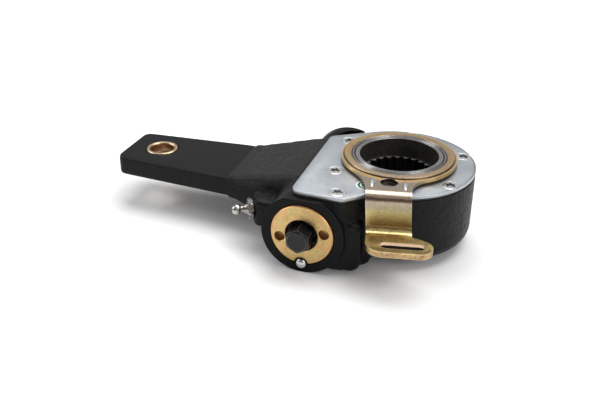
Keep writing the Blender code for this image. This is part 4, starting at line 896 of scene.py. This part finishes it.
def cover_pieces():
    """Zinc sheet with countersinks, the gasket under it and the screws with six-lobed recesses."""
    outline = cover_outline()
    sink = [(2.1, DECK), (2.1, COVER_LOW), (4.6, COVER_TOP), (4.6, COVER_TOP + 2)]
    bores = [rod(COVER_HOLE_R, DECK, COVER_TOP + 3)] + [shifted(lathe(sink, 48), x, y) for x, y in SCREWS]
    mesh = combine("cover_sheet", slab(outline, COVER_LOW, COVER_TOP, 0.22), bores=bores)
    finish_piece("cover_sheet", mesh, SHEET, ["cover_plate"])
    bores = [rod(33.5, DECK, DECK + 3, 96)] + [shifted(rod(2.1, DECK, 45, 24), x, y) for x, y in SCREWS]
    mesh = combine("gasket_sheet", prism(offset_outline(outline, -0.3), GASKET_LOW, GASKET_HIGH), bores=bores)
    finish_piece("gasket_sheet", mesh, PAPER, ["cover_gasket"])
    head = [
        (1.5, COVER_TOP - 9.5), (1.8, COVER_TOP - 9.1), (1.8, COVER_TOP - 1.5), (4.25, COVER_TOP - 0.25),
        (4.25, COVER_TOP - 0.1), (3.9, COVER_TOP),
    ]

    def sunk(x, y, z, level):
        return hypot(x, y) < 3.0 and -0.75 < z - COVER_TOP < -0.05

    turns = [2 * pi * step / 72 for step in range(72)]
    star = [polar(2.4 + 0.5 * cos(6 * angle), angle) for angle in turns]
    for number, (x, y) in enumerate(SCREWS, 1):
        turn = radians((37 * number) % 60)
        recess = shifted(prism(star, COVER_TOP - 0.8, COVER_TOP + 1), turn=turn)
        mesh = combine("screw", lathe(head, 64), bores=[recess])
        looks, nodes = [SCREW_ZINC, RECESS_SHADE], [f"cover_screw_{number}"]
        finish_piece(f"lobed_screw_{number}", mesh, looks, nodes, bevel=0.08, second=sunk)
        mesh.transform(Matrix.Translation((x * MM, y * MM, 0)))


cover_pieces()


# ---- wheel hub and control disc


SPLINES = 26


def spline_outline():
    outline = []
    quarter = pi / (2 * SPLINES)
    for tooth in range(SPLINES):
        middle = 2 * pi * tooth / SPLINES
        outline += arc((0, 0), 20.6, middle - 0.5 * quarter, middle + 0.5 * quarter, 3)
        outline += arc((0, 0), 18.7, middle + 1.6 * quarter, middle + 2.4 * quarter, 3)
    return outline


def wheel_layers():
    """Helical worm wheel teeth."""
    lead = atan2(THREAD_PITCH, 2 * pi * WORM_PITCH_R)
    thickness = THREAD_PITCH / 2 - HALF_BACKLASH
    base = PITCH_R * cos(PRESSURE)

    def half(radius):
        slope = acos(min(1, base / max(radius, base)))
        return thickness / (2 * PITCH_R) + tan(PRESSURE) - PRESSURE - (tan(slope) - slope)

    layers = []
    for step in range(7):
        z = 14.0 + 17.0 * step / 6
        first = pi + pi / TEETH + (z - WORM_Z) * tan(lead) / PITCH_R
        outline = []
        for tooth in range(TEETH):
            middle = first + 2 * pi * tooth / TEETH
            flank = [(r, half(r)) for r in (25.4, 26.6, PITCH_R, 29.2, 30.2)]
            for radius, turn in [(r, -h) for r, h in flank] + flank[::-1]:
                outline.append(polar(radius, middle + turn))
        layers.append([(x, y, z) for x, y in outline])
    return layers


def wheel_pieces():
    """Hub with its bright end ring, splined bore and teeth; and the disc round it."""
    hub = [
        (23.4, 0.4), (HUB_R, 1.2), (HUB_R, 43.5), (22.55, 43.5), (22.55, 45.6), (HUB_R, 45.6), (HUB_R, 49.6),
        (23.9, HUB_TOP), (23.35, HUB_TOP), (23.2, 49.68), (23.05, 49.68), (22.9, HUB_TOP), (22.0, HUB_TOP),
    ]
    counterbore = [(21.25, 38.9), (21.4, 39.05), (21.65, 49.6), (21.85, 49.8), (21.85, 50.5)]
    bores = [prism(spline_outline(), -2, 39.5), lathe(counterbore)]
    mesh = combine("splined_hub", lathe(hub), [loft(wheel_layers())], bores)

    def inside(x, y, z, level):
        return hypot(x, y) < 21.7 and z < 49.55

    looks = [HUB_STEEL, BORE_SHADE]
    finish_piece("splined_hub", mesh, looks, ["worm_wheel"], "worm_wheel", angle=25, second=inside)
    disc = [
        (COLLAR_IN, 31.4), (27.3, 31.4), (27.3, 38.6), (DISC_R, 38.6), (DISC_R, 42.0), (COLLAR_OUT, 42.0),
        (COLLAR_OUT, 49.65), (25.65, HUB_TOP), (25.3, HUB_TOP), (25.2, 49.75), (25.1, HUB_TOP),
        (24.85, HUB_TOP), (COLLAR_IN, 49.65),
    ]
    notch = shifted(box((28.1, -2.4, 37.6), (DISC_R + 1, 2.4, 43)), turn=-pi / 2 - radians(10))
    mesh = combine("collared_disc", lathe(disc, hollow=True), bores=[notch])
    finish_piece("collared_disc", mesh, DISC_STEEL, ["control_disc"], "control_arm", angle=25)


wheel_pieces()


# ---- control arm

STRAP_LEFT, STRAP_RIGHT, STRAP_SKEW = -16.2, 7.1, 1.6
STRAP_OUTER = 48.5
SHEET_T = 3.3
FOOT_TOP = 28.0
NECK_R, FOOT_R = 5.0 - SHEET_T / 2, 3.8 + SHEET_T / 2
FOLD_STRAIGHT = (SHEET_TOP - FOOT_TOP) - NECK_R - FOOT_R
FOLD_START = STRAP_OUTER - 5.0
SLOT_X, SLOT_OUT, SLOT_REACH = 4.1, 61.6, 8.4
NECK_HOLE = (-4.55, -34.3)


def unfolded(out):
    return out + (NECK_R + FOOT_R) * (pi / 2 - 1) + FOLD_STRAIGHT


def fold(bm):
    """Bends the flat pattern down at the neck and out again at the foot."""
    quarter = pi / 2
    middle = SHEET_TOP - SHEET_T / 2
    foot_bend = NECK_R * quarter + FOLD_STRAIGHT
    foot_start = foot_bend + FOOT_R * quarter
    stations = [NECK_R * quarter * i / 16 for i in range(17)]
    stations += [foot_bend + FOOT_R * quarter * i / 14 for i in range(15)]
    for station in stations:
        geometry = bm.verts[:] + bm.edges[:] + bm.faces[:]
        place = (0, -(FOLD_START + station), 0)
        bmesh.ops.bisect_plane(bm, geom=geometry, plane_co=place, plane_no=(0, 1, 0), dist=1e-4)
    for vertex in bm.verts:
        along, height = -vertex.co.y - FOLD_START, vertex.co.z - middle
        if along <= 0:
            continue
        out, up = FOLD_START + NECK_R + FOOT_R, middle - NECK_R - FOLD_STRAIGHT
        if along <= NECK_R * quarter:
            angle = along / NECK_R
            out = FOLD_START + (NECK_R + height) * sin(angle)
            up = middle - NECK_R + (NECK_R + height) * cos(angle)
        elif along <= foot_bend:
            out = FOLD_START + NECK_R + height
            up = middle - along + NECK_R * (quarter - 1)
        elif along <= foot_start:
            angle = (along - foot_bend) / FOOT_R
            out, up = out - (FOOT_R - height) * cos(angle), up - (FOOT_R - height) * sin(angle)
        else:
            out, up = out + along - foot_start, up - FOOT_R + height
        vertex.co = (vertex.co.x, -out, up)
    return bm


def arm_pattern():
    """Flat pattern: foot with its lobe, strap, neck and ring."""
    start, front = -unfolded(STRAP_OUTER + 3.8), -unfolded(STRAP_OUTER + 19.8)
    left = STRAP_LEFT + STRAP_SKEW
    foot = rounded_path([(left, start + 2), (left, front, 10.0), (15, front)], 0, 16)[:-1]
    lobe = Vector((SLOT_X + SLOT_REACH, -unfolded(SLOT_OUT)))
    back = Vector((STRAP_RIGHT + STRAP_SKEW, start + 0.1))
    reach = back - lobe
    tangent = atan2(reach.y, reach.x) - acos(6.7 / reach.length)
    foot += arc(lobe, 6.7, -pi / 2, tangent, 26)
    foot += rounded_path([foot[-1], (*back, 2.4), (STRAP_RIGHT, -FOLD_START)], 0, 8)[1:-1]

    def neck(side, radius):
        sign = 1 if side > 0 else -1
        centre_x = side + sign * radius
        centre_y = -sqrt((SHEET_OUT + radius) ** 2 - centre_x**2)
        at_ring = atan2(-centre_y, -centre_x)
        points = arc((centre_x, centre_y), radius, pi if sign > 0 else 0, at_ring, 18)
        return [p for p in points if p[1] > -FOLD_START + 0.3], at_ring - pi

    right_points, right_angle = neck(STRAP_RIGHT, 16.0)
    left_points, left_angle = neck(STRAP_LEFT, 38.0)
    ring = arc((0, 0), SHEET_OUT, right_angle, left_angle + 2 * pi, 120)[1:-1]
    sides = [(STRAP_RIGHT, -FOLD_START)] + right_points + ring + left_points[::-1]
    return foot + sides + [(STRAP_LEFT, -FOLD_START)]


def bead(x, y):
    """Raised oval bead pressed into the neck."""
    bm = bmesh.new()
    bmesh.ops.create_uvsphere(bm, u_segments=32, v_segments=16, radius=1.0)
    bm.transform(Matrix.Translation((x, y, SHEET_TOP - 0.15)) @ Matrix.Diagonal((1.65, 5.2, 0.9, 1)))
    return bm


def control_arm_piece():
    inner, low = LIP_R - 0.3, SHEET_LOW + 0.4
    lip = [(inner, low), (inner, SHEET_TOP), (LIP_R, SHEET_TOP + 0.1), (LIP_R, 49.6), (inner, HUB_TOP)]
    slot = arc((SLOT_REACH, 0), 2.9, -pi / 2, pi / 2, 20) + arc((-SLOT_REACH, 0), 2.9, pi / 2, 1.5 * pi, 20)
    bore = [(SHEET_IN, 40), (SHEET_IN, 49.7), (SHEET_IN + 0.3, 50.0), (SHEET_IN + 0.3, 53)]
    hole = [(4.5, 40), (4.5, 48.9), (4.7, 49.1), (4.7, 53)]
    bores = [
        lathe(bore),
        shifted(lathe(hole, 56), *NECK_HOLE),
        shifted(prism(slot, 40, 55), SLOT_X, -unfolded(SLOT_OUT)),
    ]
    # The beads' places are turned back by the arm's rest angle.
    beads = []
    for x, y in ((-5.9, -37.2), (11.2, -35.6)):
        point = Matrix.Rotation(-REST_TURN, 2) @ Vector((x, y))
        beads.append(bead(point.x, point.y))
    sheet = prism(arm_pattern(), SHEET_LOW, SHEET_TOP)
    mesh = combine("control_arm_pressing", sheet, [lathe(lip)] + beads, bores)
    bm = bmesh.new()
    bm.from_mesh(mesh)
    bmesh.ops.scale(bm, vec=(1000, 1000, 1000), verts=bm.verts)
    fold(bm)
    bm.transform(Matrix.Rotation(REST_TURN, 4, "Z"))

    # Faces that take the hole-wall material with its painted shade.
    def sheared(x, y, z, level):
        x, y = Matrix.Rotation(-REST_TURN, 2) @ Vector((x, y))
        in_slot = z < FOOT_TOP and hypot(max(0.0, abs(x - SLOT_X) - SLOT_REACH), y + SLOT_OUT) < 3.2
        return level < 0.5 and (in_slot or z > 45 and hypot(x - NECK_HOLE[0], y - NECK_HOLE[1]) < 4.7)

    mesh = to_mesh("control_arm_pressing", bm, recalc=False)
    looks, nodes = [ZINC_ARM, ZINC_WALL_SHADE], ["control_arm"]
    name = "control_arm_pressing"
    finish_piece(name, mesh, looks, nodes, "control_arm", angle=40, bevel=0.3, second=sheared)


control_arm_piece()


# ---- worm end


PIN_HOLES = [polar(12.3, radians(turn)) for turn in (12, 192)]


def worm_pieces():
    """Retainer disc with pin holes, and the locking pin."""
    retainer = [
        (11.0, 49.5), (17.1, 49.5), (17.1, 57.3), (16.6, 57.8), (9.1, 57.8), (8.6, 57.3), (8.6, 53.65),
        (11.0, 53.65),
    ]
    hole = [(2.2, 54.2), (2.75, 54.8), (2.75, 57.6), (2.95, 57.8), (2.95, 59)]
    bores = [shifted(lathe(hole, 48), x, y) for x, y in PIN_HOLES]
    bores.append(shifted(rod(3.4, 48, 60, 48), 0, -PIN_DROP))
    disc = on_worm_line(lathe(retainer, hollow=True))
    mesh = combine("pinned_retainer", disc, bores=[on_worm_line(bore) for bore in bores])

    def in_hole(x, y, z, level):
        return y > -57.7 and any(hypot(x - WORM_X - right, z - WORM_Z - up) < 2.9 for right, up in PIN_HOLES)

    looks, nodes = [ZINC_DISC, ZINC_DEEP], ["front_retainer"]
    finish_piece("pinned_retainer", mesh, looks, nodes, bevel=0.12, second=in_hole)
    dome = arc((0, 57.4), 2.85, 0, pi / 2, 12)
    pin = [(2.55, 49.8), (2.85, 50.1)] + [(r, 57.4 + 0.6 * (z - 57.4)) for r, z in dome]
    bm = on_worm_line(shifted(lathe(pin, 48), 0, -PIN_DROP))
    finish_piece("domed_pin", bm, PIN_STEEL, ["locking_pin"])


def hexagon_radius(angle, width):
    sixth = pi / 3
    return width / 2 / cos((angle + sixth / 2) % sixth - sixth / 2)


def worm_shaft_piece():
    """Worm with its thread, journals and the hexagon with a chamfered end."""
    lean = tan(PRESSURE)
    half_tooth = (THREAD_PITCH / 2 - HALF_BACKLASH) / 2
    tip, root = half_tooth - lean * 2.2, half_tooth + lean * 2.6

    def column(angle):
        points = [(5.4, -33.2), (6.0, -32.6), (6.0, -18.5), (9.2, -18.5), (9.2, -17.6), (6.6, -17.6)]
        for turn in range(-4, 5):
            middle = THREAD_PITCH * (turn + angle / (2 * pi))
            for radius, offset in ((6.6, -root), (11.4, -tip), (11.4, tip), (6.6, root)):
                height = middle + offset
                if abs(height) > 17.0:
                    height, radius = copysign(17.0, height), 6.6
                points.append((radius, height))
        side = hexagon_radius(angle, 12.0)
        face, front = 5.2, 65.5
        points += [(6.6, 17.6), (9.2, 17.6), (9.2, 18.5), (7.5, 18.5), (7.5, 53.5), (side, 54.5)]
        points.append((side, front - 1.3))
        points += [(min(side, face + (front - z) * 1.9), z) for z in (front - 1.1, front - 0.7, front - 0.35)]
        return points + [(face, front), (4.9, front - 0.08)]

    bm = on_worm_line(column_solid(column))
    finish_piece("worm_with_hexagon", bm, OXIDE, ["worm_shaft"], "worm_shaft", angle=28)


def rear_plug_piece():
    """Screwed plug with a hexagon socket."""

    def column(angle):
        side = hexagon_radius(angle, 10.0)
        return [
            (side, -36.1), (side, -37.8), (side + 0.35, -38.1), (15.2, -38.1), (15.7, -37.6), (15.7, -34.2),
            (15.3, -33.8),
        ]

    bm = on_worm_line(column_solid(column))
    finish_piece("socket_plug", bm, OXIDE, ["rear_plug"], angle=28)


worm_pieces()
worm_shaft_piece()
rear_plug_piece()


# ---- bush and grease nipple


def bush_piece():
    bush = [
        (7.1, -5.7), (7.75, -6.5), (9.0, -6.5), (9.4, -6.1), (9.4, 6.1), (9.0, 6.5), (7.75, 6.5), (7.1, 5.7),
        (7.1, 2.2), (7.35, 1.9), (7.35, 0.9), (7.1, 0.6),
    ]
    bm = shifted(lathe(bush, 112, edge=0.12, hollow=True), CLEVIS_X, ARM_CENTRE_Y, ARM_Z)
    finish_piece("wrapped_bush", bm, BRONZE, ["clevis_bush"])


def nipple_piece():
    """Hexagon, neck and ball of the grease nipple, with its ball check."""

    def column(angle):
        side = hexagon_radius(angle, 10.6)
        chamfer = min(side, 5.6)
        ball = arc((0, -9.02), 3.0, radians(52), radians(-50), 14)
        return [
            (2.6, 8.0), (3.0, 7.6), (3.0, -0.3), (chamfer, -0.3), (side, -0.75), (side, -2.5),
            (chamfer, -3.0), (3.3, -3.05), (2.9, -4.2), (2.1, -5.0), (1.8, -6.3),
        ] + ball + [(1.6, -11.6), (1.0, -11.65), (0.8, -11.2), (0, -11.1)]

    bm = column_solid(column, 96)
    bm.transform(NIPPLE)
    finish_piece("grease_fitting", bm, NIPPLE_ZINC, ["grease_nipple"], angle=28)


bush_piece()
nipple_piece()


# ---- round label on the cover


LABEL = (-9.7, -34.9)


def label_material():
    """White paper with a green middle."""
    n = Nodes("label_paper")
    radius = n.radius_from(LABEL[0] * MM, LABEL[1] * MM)
    ring = n.times(n.map(radius, 0.0023, 0.0024), n.map(radius, 0.0032, 0.0031))
    fine = n.noise(1800, 3)
    ring = n.math("MAXIMUM", ring, n.map(radius, 0.0043, 0.0045))
    green = n.mix(n.map(fine, 0.35, 0.7), (0.004, 0.10, 0.035), (0.008, 0.14, 0.05))
    n.base = n.mix(ring, green, (0.78, 0.80, 0.79))
    n.bump(fine, 0.00001, 0.3)
    return n.done(0.6, 0.0, specular=0.2)


label = slab(arc((0, 0), 5.2, 0, 2 * pi, 96)[:-1], COVER_TOP + 0.02, COVER_TOP + 0.14, 0.03, 2)
finish_piece("round_label", shifted(label, *LABEL), label_material())


# ---- carried-over nodes

for material, nodes in (
    (OXIDE, "rack strong_spring"),
    (HUB_STEEL, "drive_gear clutch_ring spring_seat"),
    (BRIGHT, "clutch_spring front_thrust_washer thrust_bearing wheel_thrust_washer"),
    (RUBBER, "shaft_seal lower_seal upper_seal cover_seal"),
):
    for node in nodes.split():
        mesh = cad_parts[node].data
        mesh.materials.clear()
        mesh.materials.append(material)
        mesh.shade_smooth()
        mesh.set_sharp_from_angle(angle=radians(32))


# ---- studio


def floor_material():
    """White floor that keeps the shadow, with a painted glow for camera and glossy rays: faint near the
    object and stronger away from it, so the floor is darker near the object and the metal's reflections get
    painted light.
    """
    n = Nodes("studio_floor")
    path = n.add("LightPath")
    seen = n.math("MAXIMUM", path.outputs["Is Camera Ray"], path.outputs["Is Glossy Ray"])
    n.done(0.9, specular=0.0)
    # Painted light: the floor's glow, seen by the camera and in reflections, grows with distance from the
    # object.
    away = n.radius_from(-0.03, 0.0)
    far = n.math("ADD", n.map(away, 0.13, 0.40, 0.04, 0.30), n.map(away, 0.5, 1.3, 0.0, 0.65))
    glow = n.add("Emission", {"Color": 1.0, "Strength": n.times(seen, far)})
    both = n.add("AddShader", {0: n.shader.outputs[0], 1: glow.outputs[0]})
    n.link(both.outputs[0], n.tree.nodes["Material Output"].inputs["Surface"])
    return n.material


def studio():
    floor = bmesh.new()
    bmesh.ops.create_grid(floor, x_segments=1, y_segments=1, size=3000)
    obj = new_object("floor", to_mesh("floor", floor))
    obj.data.materials.append(floor_material())
    world = bpy.data.worlds.new("studio_world")
    scene.world = world
    world.use_nodes = True
    tree = world.node_tree
    background = tree.nodes["Background"].inputs
    background["Color"].default_value = (1, 1, 1, 1)
    path = tree.nodes.new("ShaderNodeLightPath")
    strength = tree.nodes.new("ShaderNodeMapRange")
    strength.inputs["To Min"].default_value = 0.24
    tree.links.new(path.outputs["Is Camera Ray"], strength.inputs["Value"])
    tree.links.new(strength.outputs["Result"], background["Strength"])

    def lamp(name, place, aim, size, power):
        data = bpy.data.lights.new(name, "AREA")
        data.shape = "RECTANGLE"
        data.size, data.size_y = size
        data.energy = power
        light = new_object(name, data)
        light.location = place
        light.rotation_euler = (Vector(aim) - Vector(place)).to_track_quat("-Z", "Y").to_euler()

    lamp("softbox_top", (0.05, 0.25, 0.95), (-0.05, 0, 0), (1.1, 0.7), 11.5)
    lamp("softbox_back", (-0.35, 1.0, 0.55), (-0.05, 0, 0.02), (1.4, 0.45), 0.5)
    lamp("softbox_left", (-0.95, -0.15, 0.55), (-0.05, 0, 0.02), (0.7, 0.7), 3.5)
    lamp("softbox_right", (0.85, -0.45, 0.6), (0, 0, 0.02), (0.5, 0.8), 3.5)


def camera(place, azimuth, elevation, roll, pixels):
    """The photograph's camera; its focal length is in pixels of the 600-pixel picture."""
    back = Vector((sin(azimuth) * cos(elevation), -cos(azimuth) * cos(elevation), sin(elevation)))
    right = (-back).cross(Vector((0, 0, 1))).normalized()
    up = right.cross(-back)
    x_axis = right * cos(roll) + up * sin(roll)
    y_axis = up * cos(roll) - right * sin(roll)
    data = bpy.data.cameras.new("camera")
    data.sensor_fit = "HORIZONTAL"
    data.sensor_width = 36.0
    data.lens = pixels / 600 * 36.0
    data.clip_start, data.clip_end = 0.01, 50
    obj = new_object("camera", data)
    turn = Matrix((x_axis, y_axis, back)).transposed().to_4x4()
    obj.matrix_world = Matrix.Translation(place) @ turn
    scene.camera = obj


studio()
camera((0.0750006, -0.398553, 0.234579), radians(18.352), radians(28.047), radians(0.644), 803.287)
scene.view_settings.view_transform = "Standard"
